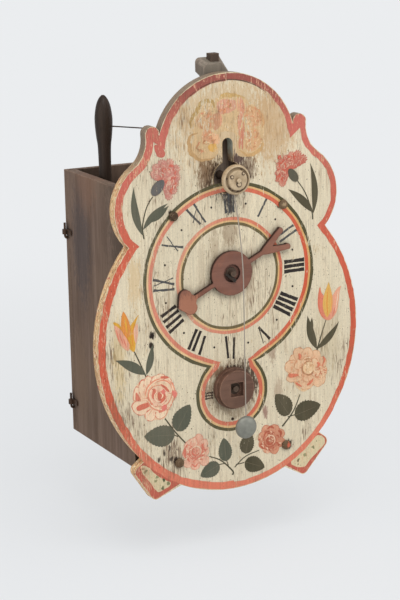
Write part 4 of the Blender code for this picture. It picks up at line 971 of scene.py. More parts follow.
def dab(sheet, outline, pigment):
    """One stroke: a closed plate over an outline. The pigment is one colour, or one for each point."""
    count = len(outline)
    first = len(sheet["points"])
    pigments = pigment if isinstance(pigment, list) else [pigment] * count
    for lift in (sheet["level"], -ROOT):
        sheet["points"] += [on_dial(x, z, lift) for x, z in outline]
        sheet["pigments"] += pigments
    front = range(first, first + count)
    sheet["faces"].append(list(front))
    sheet["faces"].append([k + count for k in reversed(front)])
    for k in range(count):
        following = (k + 1) % count
        sheet["faces"].append([first + k, first + k + count, first + following + count, first + following])
    sheet["level"] += COAT


def hang(sheet, name, material):
    """Turns the strokes of a sheet into one piece on the dial."""
    mesh = bpy.data.meshes.new(name)
    mesh.from_pydata(sheet["points"], [], sheet["faces"])
    colours = mesh.color_attributes.new("pigment", "FLOAT_COLOR", "POINT")
    for entry, pigment in zip(colours.data, sheet["pigments"]):
        entry.color = pigment
    bm = bmesh.new()
    bm.from_mesh(mesh)
    bmesh.ops.recalc_face_normals(bm, faces=bm.faces)
    bm.to_mesh(mesh)
    bm.free()
    mesh.materials.append(material)
    item = bpy.data.objects.new(name, mesh)
    bpy.context.collection.objects.link(item)
    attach(item, "frame")
    print(f"{name}: {len(mesh.polygons)} faces, up to {sheet['level']:.2f} mm")


# %% [markdown]
# A painter's lines swell and taper. These helpers turn a few knots into such outlines. Noise that depends
# only on the place shakes them, so the hand looks unsteady, and in the same way on every run.

# %% Line helpers
HAND_SEED = 5               # of the noise that shakes a line, so that each run draws the same one
noise.seed_set(HAND_SEED)


def arc(centre, radius, start, end, steps):
    """Points from one angle to another, in degrees from +x towards +z."""
    points = []
    for step in range(steps + 1):
        angle = math.radians(start + (end - start) * step / steps)
        points.append((centre[0] + radius * math.cos(angle), centre[1] + radius * math.sin(angle)))
    return points


def polar(centre, radius, angle):
    return arc(centre, radius, angle, angle, 1)[0]


def heading(a, b):
    return math.degrees(math.atan2(b[1] - a[1], b[0] - a[0]))


def shaky(points, size, seed, pace=0.11):
    """Moves each point a little, so that a line looks drawn by hand."""
    moved = []
    for x, z in points:
        wobble = noise.noise_vector(Vector((x * pace, z * pace, seed)))
        moved.append((x + size * wobble.x, z + size * wobble.y))
    return moved


def loop(knots, steps=4):
    """A smooth closed outline through a few knots."""
    run = flowing([*knots[-1:], *knots, *knots[:2]], steps)
    return run[steps:steps * (len(knots) + 1)]


def ribbon(points, widths):
    """Outline of a stroke along points, with a width at each."""
    left, right = [], []
    for k, (x, z) in enumerate(points):
        before = points[max(k - 1, 0)]
        after = points[min(k + 1, len(points) - 1)]
        run = Vector((after[0] - before[0], after[1] - before[1])).normalized()
        half = widths[k] / 2
        left.append((x - run.y * half, z + run.x * half))
        right.append((x + run.y * half, z - run.x * half))
    return left + right[::-1]


def line(sheet, knots, start_width, end_width, pigment, swell=0):
    """A brush line that gets thinner or thicker on its way, and may swell in the middle."""
    points = flowing(knots)
    last = len(points) - 1
    widths = []
    for k in range(len(points)):
        share = k / last
        widths.append(start_width + (end_width - start_width) * share + swell * math.sin(math.pi * share))
    dab(sheet, ribbon(points, widths), pigment)


def part_way(first, second, share):
    """A colour or a point between two others."""
    return tuple(a + (b - a) * share for a, b in zip(first, second))


# %% [markdown]
# The painter's palette is short: a cream ground, red lead, ochre, a green that has gone grey, lamp black
# and whites tinted with red for the flowers. Five materials age it: the tough green, paint that kept well,
# paint that is rubbed, the knocked border, and the nearly lost paint of the arch.

# %% Palette and paint materials
CREAM = srgb(221, 208, 180)
RED = srgb(204, 94, 68)
LOW_RED = srgb(219, 125, 99)
UPPER_RED = srgb(198, 108, 94)
TOP_RED = srgb(152, 84, 74)
BLACK = srgb(44, 38, 35)
SLATE = srgb(80, 80, 80)
LEFT_LEAF = srgb(78, 83, 69)
RIGHT_LEAF = srgb(67, 64, 44)
STEM = srgb(76, 72, 54)
LEFT_CALYX = srgb(90, 91, 92)
RIGHT_CALYX = srgb(66, 68, 56)
CORAL = srgb(208, 102, 80)
PINK = srgb(226, 164, 138)
PEACH = srgb(232, 192, 156)
LIGHT = srgb(238, 210, 178)
GOLD = srgb(214, 160, 60)
AMBER = srgb(216, 136, 56)
OCHRE = srgb(184, 152, 98)
DEEP_BROWN = srgb(48, 34, 26)
BARE_WOOD = srgb(150, 120, 86)


def stroke_paint(name, wear, dirt, under=CREAM):
    """Paint that takes its pigment from the strokes and wears to what is under it."""
    material, tree, shader = new_material(name)
    pigment = node(tree, "ShaderNodeVertexColor", layer_name="pigment").outputs["Color"]
    aged = use_group(tree, aged_paint, Pigment=pigment, Ground=under, Wood=BARE_WOOD, Wear=wear, Dirt=dirt)
    tree.links.new(aged["Colour"], shader.inputs["Base Color"])
    tree.links.new(aged["Roughness"], shader.inputs["Roughness"])
    bump(tree, shader, aged["Height"], strength=0.3)
    return material


leaf_paint = stroke_paint("leaf_paint", wear=0.1, dirt=0.15)
kept_paint = stroke_paint("kept_paint", wear=0.28, dirt=0.28)
rubbed_paint = stroke_paint("rubbed_paint", wear=0.45, dirt=0.45)
border_paint = stroke_paint("border_paint", wear=0.62, dirt=0.5, under=srgb(224, 170, 138))
faded_paint = stroke_paint("faded_paint", wear=0.66, dirt=0.45)
print("five paints")

# %% [markdown]
# ## Ground coat
# The board itself carries the cream ground. The board is darker round the pendulum's hole, and dark stains
# mark where the hand and the quarter disc have rubbed. Some rows of the table are painted shade: small holes
# in the board and the gaps round the pegs. They are places in a table, because each has a cause and so a
# place of its own, which noise alone would not give.

# %% Stains and painted shade in the ground
BROWN = srgb(120, 86, 60)
TAN = srgb(150, 124, 96)
STAINS_AND_PAINTED_SHADE = (                  # x, z, half width, half height in mm, strength, colour
    (0, 132, 58, 46, 0.55, srgb(194, 158, 112)),
    (44, 128, 26, 40, 0.55, srgb(190, 152, 108)),
    (-19, 91, 11, 16, 0.85, srgb(116, 86, 58)),
    (19, 93, 9, 13, 0.7, srgb(112, 86, 66)),
    (0, 86, 22, 20, 0.95, srgb(58, 41, 31)),
    (9, 101, 9, 7, 0.9, srgb(88, 68, 62)),
    (1, 66, 5.5, 15, 0.95, srgb(62, 56, 56)),
    (0, 38, 9, 14, 0.5, srgb(132, 104, 76)),
    (-14, 22, 5, 24, 0.4, TAN),
    (-27, 8, 5, 26, 0.22, TAN),
    (20, -10, 5, 22, 0.4, TAN),
    (2, -102, 28, 29, 0.55, srgb(132, 102, 74)),
    (11, -95, 19, 20, 0.95, srgb(80, 60, 46)),
    (-12, -84, 10, 7, 0.8, BROWN),
    (-26, -94, 4, 10, 0.7, BROWN),
    # Painted shade: the next two rows are small holes in the board, laid dark.
    (-75, -43.5, 3.2, 3.8, 1, srgb(34, 24, 18)),
    (-76, -52, 2.6, 3.8, 1, srgb(46, 36, 28)),
    # Painted shade: the next two rows are the dark gaps beside the upper pegs.
    (-55.5, 60.5, 2.2, 3, 1, srgb(34, 25, 19)),
    (48.5, 57, 2.4, 3.4, 0.9, srgb(64, 46, 34)),
    (-72, -154, 1.8, 2.8, 0.9, DEEP_BROWN),
    (-66.5, -149, 1.6, 3.2, 0.9, DEEP_BROWN),
    (-61.5, -145, 1.4, 2.6, 0.85, DEEP_BROWN),
    (-60, -155, 2, 2.4, 0.9, DEEP_BROWN),
    # Painted shade: the next two rows are the dark holes round the lower pegs.
    (-55.5, -158, 4, 4, 1, DEEP_BROWN),
    (55.5, -160, 4.2, 4.2, 1, DEEP_BROWN),
    (40, -70, 5, 14, 0.5, srgb(128, 90, 72)),
    (46, -110, 5, 14, 0.45, srgb(146, 112, 88)),
    (32.5, -126, 2.6, 7, 0.8, srgb(142, 100, 90)),
    (96, -60, 14, 46, 0.4, srgb(190, 174, 140)),
    (-106, -60, 7, 40, 0.4, srgb(208, 180, 122)),
    (-90, 5, 7, 26, 0.45, srgb(204, 168, 112)),
)
HOLE_WALL_LIGHT_AND_SHADE = (             # the sawn walls of the slot and of the round hole below it
    # Painted light: the slot's wall is laid pale grey, lighter than the shade it lies in.
    (0, 116, 10, 16, 1, srgb(172, 174, 160)),
    # Painted shade: the round hole's walls are laid dark brown.
    (0, 86, 24, 18, 1, srgb(78, 58, 45)),
)


def with_ground_marks(tree, colour, ground_marks):
    """Lays each mark over a colour: stains, painted shade and painted light."""
    for x, z, wide, tall, amount, tint in ground_marks:
        shape = (1 / (wide * MM), 0, 1 / (tall * MM))
        spot = use_group(tree, soft_patch_mask, Centre=on_dial(x, z, 0), Shape=shape, Amount=amount)
        colour = mixed(tree, spot["Mask"], colour, tint)
    return colour


# %% [markdown]
# The sawn edge of the board is ochre and striped, with flecks of the border's red, and it has gone grey near
# the top, where dust lies. Its ochre is painted paler than bare wood: painted light on an edge that lies in
# shade. Noise drawn out along the edge gives the stripes, and closer noise the flecks.

# %% Sawn edge of the board
DUST_START, DUST_FULL = 0.075, 0.115  # heights, m
DUST_STRENGTH = 0.85


def sawn_edge(tree):
    """Pale stripes along the board's edge, painted light, with cream and red flecks, and dust near the top.
    """
    stripes = pattern(tree, (22, 900, 22), 4, 0.6, 0.3)
    wood_tone_with_painted_light = mixed(tree, step_between(tree, stripes, 0.36, 0.64), srgb(186, 140, 94), srgb(250, 210, 154))
    chips = pattern(tree, (300, 500, 220), 4, 0.7)
    pale = mixed(tree, step_between(tree, chips, 0.54, 0.6), wood_tone_with_painted_light, srgb(250, 230, 190))
    flecks = pattern(tree, (240, 420, 200), 4, 0.7)
    red = mixed(tree, step_between(tree, flecks, 0.57, 0.63), pale, srgb(204, 108, 82))
    cracks = pattern(tree, (420, 640, 260), 3, 0.7)
    cracked = mixed(tree, step_between(tree, cracks, 0.58, 0.66), red, srgb(96, 70, 50))
    place = node(tree, "ShaderNodeTexCoord").outputs["Object"]
    height = node(tree, "ShaderNodeSeparateXYZ", {0: place}).outputs["Z"]
    dusty = maths(tree, "MULTIPLY", step_between(tree, height, DUST_START, DUST_FULL), DUST_STRENGTH)
    return mixed(tree, dusty, cracked, srgb(118, 105, 92))


# %% [markdown]
# The back was never painted, so it shows planed wood. The group for wood grain gives it, as on the case.

# %% Bare back of the board
def bare_back(tree):
    """Planed wood, brown with age, with its grain upright and dark pores."""
    lines = use_group(tree, grain, Stretch=(260, 260, 14))
    planed = mixed(tree, lines["Streaks"], srgb(112, 88, 64), srgb(158, 128, 96))
    return mixed(tree, maths(tree, "MULTIPLY", lines["Pores"], PORE_STRENGTH), planed, srgb(80, 60, 44))


# %% [markdown]
# Front, edge and back could be three pieces, but the board is one solid. So one material tells its faces
# apart by the way they look, and lays paint only on the front.

# %% Ground paint on the board
SIDE_STEP = (0.35, 0.8)     # from an edge to a face that looks straight forward or back
ground, tree, shader = new_material("ground_coat")
aged = use_group(
    tree, aged_paint, Pigment=CREAM, Ground=srgb(204, 182, 144), Wood=srgb(146, 114, 82),
    Wear=0.36, Dirt=0.9,
)
normal = node(tree, "ShaderNodeTexCoord").outputs["Normal"]
front_normal = node(tree, "ShaderNodeSeparateXYZ", {0: normal}).outputs["Y"]
on_front = step_between(tree, maths(tree, "MULTIPLY", front_normal, -1), *SIDE_STEP)
chips = use_group(tree, worn_edges, Width=0.0018, Amount=0.8)["Mask"]
face_colour = mixed(tree, chips, with_ground_marks(tree, aged["Colour"], STAINS_AND_PAINTED_SHADE), srgb(222, 192, 142))
# Corner darkening on the front: dirt and painted shade, laid in dark brown.
corner = maths(tree, "MULTIPLY", use_group(tree, corner_dirt_and_shade, Reach=0.006, Amount=0.8)["Mask"], on_front)
on_back = step_between(tree, front_normal, *SIDE_STEP)
unpainted = mixed(tree, on_back, with_ground_marks(tree, sawn_edge(tree), HOLE_WALL_LIGHT_AND_SHADE), bare_back(tree))
whole = mixed(tree, on_front, unpainted, face_colour)
tree.links.new(mixed(tree, corner, whole, srgb(58, 43, 33)), shader.inputs["Base Color"])
tree.links.new(aged["Roughness"], shader.inputs["Roughness"])
bump(tree, shader, aged["Height"], strength=0.35)
coat("dial_shield", ground)
print(f"ground coat with {len(STAINS_AND_PAINTED_SHADE)} stains")

# %% [markdown]
# ## Red border
# A red band follows the edge of the shield. It is drawn as the painter would draw it: along the same
# arcs as the sawn edge, but a little further in. The arcs are given by their centres and radii, and the
# points where they meet are worked out, so that a band of any width closes.

# %% Shield arcs
ARCH, ARCH_RADIUS = (0, 109.5), 66
EAR, EAR_RADIUS = (69.8, 128.6), 6.6
HOLLOW_RADIUS = 28
SHOULDER, SHOULDER_RADIUS = (61.8, 65), 44.6
LOBE, LOBE_RADIUS = (-16.5, -54), 142
BELLY, BELLY_RADIUS = (0, -73.4), 118.3
ARCH_END, HOLLOW_START = 5, 182.5  # where the inner line leaves the arch and joins the hollow, degrees


def crossing(first, first_radius, second, second_radius, side):
    """One of the two points where circles cross."""
    gap = math.dist(first, second)
    along_line = (gap ** 2 + first_radius ** 2 - second_radius ** 2) / (2 * gap)
    off = side * math.sqrt(max(first_radius ** 2 - along_line ** 2, 0))
    ux = (second[0] - first[0]) / gap
    uz = (second[1] - first[1]) / gap
    return (first[0] + along_line * ux - off * uz, first[1] + along_line * uz + off * ux)


HOLLOW = crossing(EAR, EAR_RADIUS + HOLLOW_RADIUS, SHOULDER, SHOULDER_RADIUS + HOLLOW_RADIUS, 1)


def lower_arcs(inset):
    """Right half from the end of the hollow down to the middle of the belly."""
    waist = crossing(SHOULDER, SHOULDER_RADIUS - inset, LOBE, LOBE_RADIUS - inset, 1)
    turn = crossing(LOBE, LOBE_RADIUS - inset, BELLY, BELLY_RADIUS - inset, 1)
    start, end = heading(SHOULDER, HOLLOW), heading(SHOULDER, waist)
    points = arc(SHOULDER, SHOULDER_RADIUS - inset, start, end, 20)[1:]
    points += arc(LOBE, LOBE_RADIUS - inset, heading(LOBE, waist), heading(LOBE, turn), 60)[1:]
    points += arc(BELLY, BELLY_RADIUS - inset, heading(BELLY, turn), -90, 24)[1:]
    return points


def band_edges(outer, inner):
    """Right half of the band: the line along the sawn edge and the line on its inside."""
    notch = crossing(ARCH, ARCH_RADIUS - outer, EAR, EAR_RADIUS - outer, 1)
    edge = arc(ARCH, ARCH_RADIUS - outer, 90, heading(ARCH, notch), 30)
    edge += arc(EAR, EAR_RADIUS - outer, heading(EAR, notch) % 360, heading(EAR, HOLLOW), 12)
    edge += arc(HOLLOW, HOLLOW_RADIUS + outer, heading(HOLLOW, EAR), heading(HOLLOW, SHOULDER) % 360, 12)
    edge += lower_arcs(outer)
    inside = arc(ARCH, ARCH_RADIUS - inner, 90, ARCH_END, 30)
    inside += arc(HOLLOW, HOLLOW_RADIUS + inner, HOLLOW_START, heading(HOLLOW, SHOULDER) % 360, 12)
    inside += lower_arcs(inner)
    return edge, inside


print(f"the hollow's centre: {HOLLOW[0]:.1f}, {HOLLOW[1]:.1f} mm")

# %% [markdown]
# At the top the band of the arch runs on into a wedge beside each ear. The red has gone pinker there and
# dark on the arch, so each point of the band takes its red from its height. The band is wider on the left,
# as the painter left it.

# %% Border band
EDGE_GAP = 0.6              # between the band and the sawn edge, mm
BAND_WIDTH, BAND_UNEVEN = 6.4, 0.7
RED_FADES = (               # red, height where it starts, height where it is full
    (LOW_RED, -110, -150), (UPPER_RED, 10, 100), (TOP_RED, 130, 160),
)


def clamped(value):
    return min(max(value, 0), 1)


def border_red(z):
    """The red at a height: paler low down, pinker above and dark on the arch."""
    colour = RED
    for tint, start, full in RED_FADES:
        colour = part_way(colour, tint, clamped((z - start) / (full - start)))
    return colour


LEFT_WEDGE = ((-68.5, 119), (-62.5, 118), (-58.5, 112.5), (-60.5, 108.5), (-66, 110))
border = new_sheet(level=0.12)
for side in (1, -1):
    edge, inside = band_edges(EDGE_GAP, BAND_WIDTH - BAND_UNEVEN * side)
    half = shaky(edge, size=0.7, seed=2 + side, pace=0.9)
    half += shaky(inside, size=0.9, seed=3 + side, pace=0.2)[::-1]
    half = [(side * x, z) for x, z in half]
    dab(border, half, [border_red(z) for x, z in half])
dab(border, shaky(loop(LEFT_WEDGE), size=0.5, seed=4, pace=0.5), UPPER_RED)
line(border, arc(ARCH, ARCH_RADIUS - 6.2, 50, 128, 6), 0.2, 0.2, srgb(96, 66, 54), swell=0.8)

# %% [markdown]
# The shield ends in two small feet. The painter gave them a red edge, a cream field and blots of green, to
# look like marble. The two are not alike, so each field has its own outline.

# %% Feet
FOOT_CORNER, FOOT_CORNER_RADIUS = (88.5, -162.5), 6
TOE_RADIUS = 5.5
FOOT_START, TOE_END = 60, -100  # degrees
FOOT_OVERLAP = 3            # of the foot under the border, mm
BELLY_ANGLE, LOBE_ANGLE = -64.5, -44.5  # where the foot's sides go under the border, degrees
TOES = {1: (69.5, -184.5), -1: (75, -183.8)}
RIGHT_FIELD = (
    (83, -156.7), (87.3, -156.4), (91.6, -160), (91.8, -165), (88.8, -168.3), (76.8, -177.8),
    (71.4, -183.4), (62.5, -182), (57.6, -178.2), (60.5, -173), (70, -167.5), (77, -161),
)
LEFT_FIELD = (
    (-88.9, -157), (-82.3, -158.7), (-75.9, -166.1), (-68.5, -171.8), (-61.9, -175.6), (-61.5, -178.3),
    (-66.8, -181.1), (-73.5, -182.7), (-77.2, -178.5), (-81.8, -171.4), (-87.2, -164.2),
)
MARBLING = (                # x, z, radius in mm
    (64.6, -176.1, 1.7), (64.5, -179.6, 1.3), (80, -166.4, 1.6), (71.8, -172.6, 1.1), (84, -161.5, 0.9),
    (-87.4, -159.8, 1.7), (-85, -162.7, 1.5), (-74.1, -169.3, 1.3), (-67.5, -173.2, 1.4),
    (-68.7, -179.6, 1.4), (-63.8, -176.4, 1.2), (-75.1, -172.5, 1.3),
)


def foot_outline(toe, inset):
    turn = heading(FOOT_CORNER, toe) + 90
    points = arc(FOOT_CORNER, FOOT_CORNER_RADIUS - inset, FOOT_START, turn, 6)
    points += arc(toe, TOE_RADIUS - inset, turn, TOE_END, 6)
    points.append(polar(BELLY, BELLY_RADIUS - FOOT_OVERLAP, BELLY_ANGLE))
    points.append(polar(LOBE, LOBE_RADIUS - FOOT_OVERLAP, LOBE_ANGLE))
    return points


feet = new_sheet(level=0.015)
for side, toe in TOES.items():
    red_foot = shaky(foot_outline(toe, 0.5), size=0.4, seed=4, pace=0.8)
    dab(feet, [(side * x, z) for x, z in red_foot], srgb(190, 98, 80))
for field in (RIGHT_FIELD, LEFT_FIELD):
    dab(feet, shaky(loop(field), size=0.5, seed=5, pace=0.4), srgb(214, 198, 160))
for number, (x, z, radius) in enumerate(MARBLING):
    blot = shaky(arc((x, z), radius, 0, 330, 11), size=1.8, seed=7 + number, pace=0.5)
    dab(feet, blot, part_way(srgb(74, 84, 56), srgb(168, 164, 122), 0.25 * (number % 4)))
hang(feet, "paint_feet", border_paint)
hang(border, "paint_border", border_paint)

# %% [markdown]
# ## Chapter ring and quarter ring
# Three thin bands, olive, yellow and red, ring the hours. The quarter ring below breaks into the chapter
# ring, so both are drawn as arcs that end where they meet. A smaller ring of the same colours circles the
# hand.

# %% Ring bands
CHAPTER_RADIUS = 82
QUARTER = (0, -104)
QUARTER_RADIUS = 34.8
INNER_RADIUS = 44.6
RING_REDS = (srgb(214, 138, 114), srgb(206, 92, 62))  # on the left and on the right
YELLOWS = (srgb(226, 192, 146), srgb(214, 168, 106))
OLIVES = (srgb(92, 88, 64), srgb(82, 76, 48))
PALE_OLIVES = (srgb(112, 100, 72), srgb(100, 90, 58))
BANDS = ((0, 3.1, OLIVES), (2.9, 5, YELLOWS), (4.8, 8.2, RING_REDS))
FAINT_REDS = (srgb(222, 164, 136), srgb(206, 96, 66))
INNER_BANDS = ((0, 2.6, PALE_OLIVES), (2.4, 4.1, YELLOWS), (3.9, 6.7, FAINT_REDS))
OUTER_CUSPS = ((-24, -78.4), (24, -78.4))
INNER_CUSPS = ((-10, -75.2), (16, -76))
BAND_DEPTH = 8.2
CUSP_SPREAD = 7             # degrees over which a ring settles from its cusp
TINT_REACH = 75             # mm from the middle to where a ring has all of its left or right colour
RING_SHAKE = 0.4


def open_ring(centre, radius, first, last, steps):
    """An anticlockwise arc that starts and ends at two cusps and settles to its radius between them."""
    start = heading(centre, first)
    end = start + (heading(centre, last) - start) % 360
    points = []
    for step in range(steps + 1):
        angle = start + (end - start) * step / steps
        pull = 0
        for cusp, place in ((first, start), (last, end)):
            pull += (math.dist(centre, cusp) - radius) * math.exp(-((angle - place) / CUSP_SPREAD) ** 2)
        points.append(polar(centre, radius + pull, angle))
    return points


def cusps_at(depth):
    """The points where both rings end, at a depth in the bands."""
    return [part_way(outer, inner, depth / BAND_DEPTH) for outer, inner in zip(OUTER_CUSPS, INNER_CUSPS)]


def ring_tint(pair, points):
    """Blends a left and a right colour across the board."""
    return [part_way(*pair, clamped((x + TINT_REACH) / (2 * TINT_REACH))) for x, z in points]


RINGS = (                   # centre, radius, whether it starts at the right cusp, steps
    ((0, 0), CHAPTER_RADIUS, True, 140), (QUARTER, QUARTER_RADIUS, False, 70),
)
rings = new_sheet()


def ring_band(edges, seed, pair):
    """One stroke between an outer and an inner line."""
    outer_line, inner_line = (shaky(edge, RING_SHAKE, seed) for edge in edges)
    band = outer_line + inner_line[::-1]
    dab(rings, band, ring_tint(pair, band))


for number, (outer, inner, pair) in enumerate(BANDS):
    for centre, radius, swap, steps in RINGS:
        edges = []
        for depth in (outer, inner):
            ends = cusps_at(depth)[::-1] if swap else cusps_at(depth)
            edges.append(open_ring(centre, radius - depth, *ends, steps))
        ring_band(edges, 11 + number, pair)
for number, (inner, outer, pair) in enumerate(INNER_BANDS):
    for start in (0, 180):
        radii = (INNER_RADIUS + outer, INNER_RADIUS + inner)
        ring_band([arc((0, 0), radius, start, start + 180, 60) for radius in radii], 17 + number, pair)
hang(rings, "paint_rings", rubbed_paint)

# %% [markdown]
# ## Numerals
# The hours stand with their feet to the middle. Each letter is two or three brush strokes, thick going
# down and thin going up. The painter's hand shows: no two hours are alike, so every stroke is given by
# its two ends and its width. On the right and below, the black has kept its depth; elsewhere it is rubbed
# to a blue grey. Small dots mark the half hours.

# %% Numeral strokes
KEPT_HOURS = (              # x, z of both ends, width in mm
    ((53, 6), (73, 6.3), 3.2), ((53, 1.7), (73, 2), 3.2), ((53, -2.6), (73, -2.3), 3.2),
    ((49, -21), (66, -29), 3.2), ((46.7, -24.7), (63.7, -33.3), 3.2),
    ((44.3, -28.3), (61.3, -37.7), 3.2), ((42, -32), (59, -42), 3.2),
    ((27, -49), (38, -61), 2.2), ((27, -49), (31.5, -64), 0.8),
    ((-5, -53), (-3, -73), 2.1), ((3, -55), (2, -74), 2),
    ((-33, -43), (-41, -60), 2.7), ((-29, -45), (-37, -62), 2.7),
    ((-25, -50), (-31, -66), 2.4),
    ((-66, -28), (-52, -20), 2.7), ((-64, -33), (-49.7, -24.3), 2.7),
    ((-61.5, -38), (-47.3, -28.7), 2.7), ((-59, -43), (-45, -33), 2.7),
)
RUBBED_HOURS = (
    ((28, 49), (37, 64), 1.7),
    ((46, 29), (63, 38), 2), ((49, 24.5), (66, 33.5), 2),
    ((-73, 5), (-53, -1), 2), ((-72, -0.5), (-54, 4.5), 0.9),
    ((-73, -4.5), (-53, -5.5), 2),
    ((-64, 34), (-44, 30), 1.6), ((-59, 41), (-49, 27), 0.9),
    ((-40, 62), (-27, 48), 2), ((-30, 64), (-34, 50), 0.8),
    ((-33, 66), (-22, 49), 1.8),
    ((-4.5, 72), (-2.5, 55), 2), ((0, 72), (0.5, 55), 1.6), ((4, 72), (4.5, 55), 2),
)
QUARTER_BARS = (
    ((-26.5, -101.5), (-18.5, -101.5), 1.3), ((-26.5, -104), (-18.5, -103.8), 1.3),
    ((-26.5, -106.3), (-18.5, -106.2), 1.3),
    ((-25.5, -100.5), (-25.2, -107), 0.8), ((-19.8, -100.5), (-19.6, -107), 0.8),
    ((-4, -79.5), (-3.6, -84.5), 1.2), ((-0.6, -79.5), (-0.6, -84.5), 1.2),
    ((2.8, -79.5), (2.6, -84.5), 1.2),
    ((25, -103), (19, -103.2), 0.9),
)
DOT_RADIUS, DOT_SIZE = 63.5, 0.95
LOW_DOT, LOW_DOT_SIZE = (-0.1, -128.1), 1.4
WAIST, FLARE = 0.92, 0.22   # width in the middle of a stroke, and what its ends add


def letter_stroke(sheet, start, end, width, pigment, shake):
    """A slightly waisted stroke between two ends."""
    points = flowing((start, part_way(start, end, 0.5), end))
    last = len(points) - 1
    widths = [width * (WAIST + FLARE * (2 * k / last - 1) ** 2) for k in range(len(points))]
    dab(sheet, shaky(ribbon(points, widths), shake, seed=23, pace=0.4), pigment)


kept_hours = new_sheet()
for start, end, width in KEPT_HOURS:
    letter_stroke(kept_hours, start, end, width, BLACK, shake=0.3)
hang(kept_hours, "paint_kept_hours", kept_paint)
numerals = new_sheet()
for start, end, width in RUBBED_HOURS:
    letter_stroke(numerals, start, end, width, SLATE, shake=0.5)
for start, end, width in QUARTER_BARS:
    letter_stroke(numerals, start, end, width, srgb(74, 60, 52), shake=0.5)
for number in range(12):
    place = polar((0, 0), DOT_RADIUS, 30 * number + 15)
    dab(numerals, shaky(arc(place, DOT_SIZE, 0, 324, 9), size=0.4, seed=29), BLACK)
dab(numerals, arc(LOW_DOT, LOW_DOT_SIZE, 0, 324, 9), DEEP_BROWN)
hang(numerals, "paint_numerals", rubbed_paint)

# %% [markdown]
# ## Leaves and stems
# A leaf is a single loaded stroke: it swells from the stem and comes to a point. Low on the board the
# leaves are short and egg-shaped with a finely toothed edge; the tulips and carnations have long bent
# ones. The green is greyer on the left.

# %% Leaf and stem strokes
CHANCE_PACE, CHANCE_GAIN = 0.37, 1.6
LEAF_STEPS = 20
LEAF_FADE, LEAF_MOTTLE = 0.025, 0.02  # how far a leaf, and a place on it, may go pale
VEIN_SHARE, VEIN_TONE = 0.8, 0.12


def chance(x, z, seed):
    """A steady number from -1 to 1 for a place."""
    return CHANCE_GAIN * noise.noise(Vector((x * CHANCE_PACE + 0.5, z * CHANCE_PACE + 0.5, seed)))


def leaf(sheet, base, tip, width, lean, pigment, fullness=0.85, roundness=1, teeth=0):
    """A pointed leaf from its base to its tip. Lean bends it to one side."""
    run = Vector((tip[0] - base[0], tip[1] - base[1]))
    across = Vector((-run.y, run.x)).normalized()
    left, right = [], []
    for step in range(LEAF_STEPS + 1):
        t = step / LEAF_STEPS
        spine = Vector(base) + run * t + across * (lean * 4 * t * (1 - t))
        swell = 0
        if 0 < step < LEAF_STEPS:
            swell = width / 2 * math.sin(math.pi * t ** fullness) ** roundness
        swell *= 1 + teeth * (-1) ** step
        left.append(tuple(spine + across * swell))
        right.append(tuple(spine - across * swell))
    outline = left + right[::-1][1:-1]
    faded = LEAF_FADE * (1 + chance(*base, seed=44))
    pale = [faded + LEAF_MOTTLE * (1 + chance(x, z, seed=41)) for x, z in outline]
    dab(sheet, outline, [part_way(pigment, LIGHT, share) for share in pale])


LONG_LEAVES = (             # base, tip, width, lean
    ((-81, 44), (-88, 86), 6.8, 3), ((-80.5, 49), (-57, 69), 6, 2),
    ((-74, 54.5), (-56.3, 67), 5.6, -0.6),
    ((82.5, 46), (80, 91), 6.2, -3), ((82.5, 47), (58, 70), 7, -1.5),
    ((-82, -76.5), (-109.5, -60.5), 8.6, -1.2), ((-81.3, -76.8), (-74.9, -50.8), 6.2, -1),
    ((84.8, -76.3), (75.9, -45.1), 7.6, 1.5), ((80, -60), (80.3, -47), 3.4, 0.3),
    ((84.8, -76.3), (107.6, -54.3), 6.2, -2),
)
BROAD_LEAVES = (
    ((-56, -134), (-85, -131), 19, 0.5), ((-54, -131), (-41, -109), 17.5, 1),
    ((56.1, -132.8), (42.7, -112), 16, -1), ((61.6, -134.3), (88.1, -128.1), 18, 0.5),
    ((-6.9, -165.6), (-9.2, -144.1), 13, 0), ((12, -161.8), (17, -142), 14, 0.5),
    ((-13.7, -167.6), (-32.5, -175.2), 14, 0), ((11.2, -169.2), (30.7, -177.4), 14.5, 0),
)
STEMS = (                   # knots, width at the first, width at the last
    (((-71, 76), (-77, 67), (-81, 52), (-80, 41)), 0.9, 1.3),
    (((67, 77), (75, 65), (81, 49), (82, 41)), 0.9, 1.3),
    (((-92, -55), (-87, -66), (-81.5, -79)), 1, 1.3),
    (((94.5, -51), (90, -63), (84.8, -78)), 0.7, 1.5),
    (((-65, -118), (-56, -131), (-46, -143)), 1.2, 1.2),
    (((67.4, -115.6), (60.3, -130.3), (49.1, -142.4)), 0.9, 1.6),
    (((61.6, -133.6), (54.7, -134.5)), 0.9, 0.9), (((-58, -133.5), (-53, -136)), 0.9, 0.9),
    (((-23.5, -158.6), (-12.3, -164.1), (-1.1, -175.3), (-1.2, -179.1)), 0.8, 1.7),
    (((1, -172.5), (11.9, -164.3), (25.6, -160.8)), 1, 0.8), (((2.4, -170.3), (10.5, -169.7)), 0.8, 0.8),
    (((-7, -164), (-5, -170)), 0.8, 0.8), (((-14, -167.5), (-8, -167.5)), 0.8, 0.8),
)
greenery = new_sheet()
for knots, first_width, last_width in STEMS:
    line(greenery, knots, first_width, last_width, STEM)
for base, tip, width, lean in LONG_LEAVES:
    leaf(greenery, base, tip, width, lean, LEFT_LEAF if base[0] < 0 else RIGHT_LEAF)
for base, tip, width, lean in BROAD_LEAVES:
    green = LEFT_LEAF if base[0] < 0 else RIGHT_LEAF
    leaf(greenery, base, tip, width, lean, green, fullness=0.75, roundness=0.72, teeth=0.05)
    vein = (base, part_way(base, tip, VEIN_SHARE))
    line(greenery, vein, 0.5, 0.2, part_way(green, LIGHT, VEIN_TONE))
hang(greenery, "paint_greenery", leaf_paint)

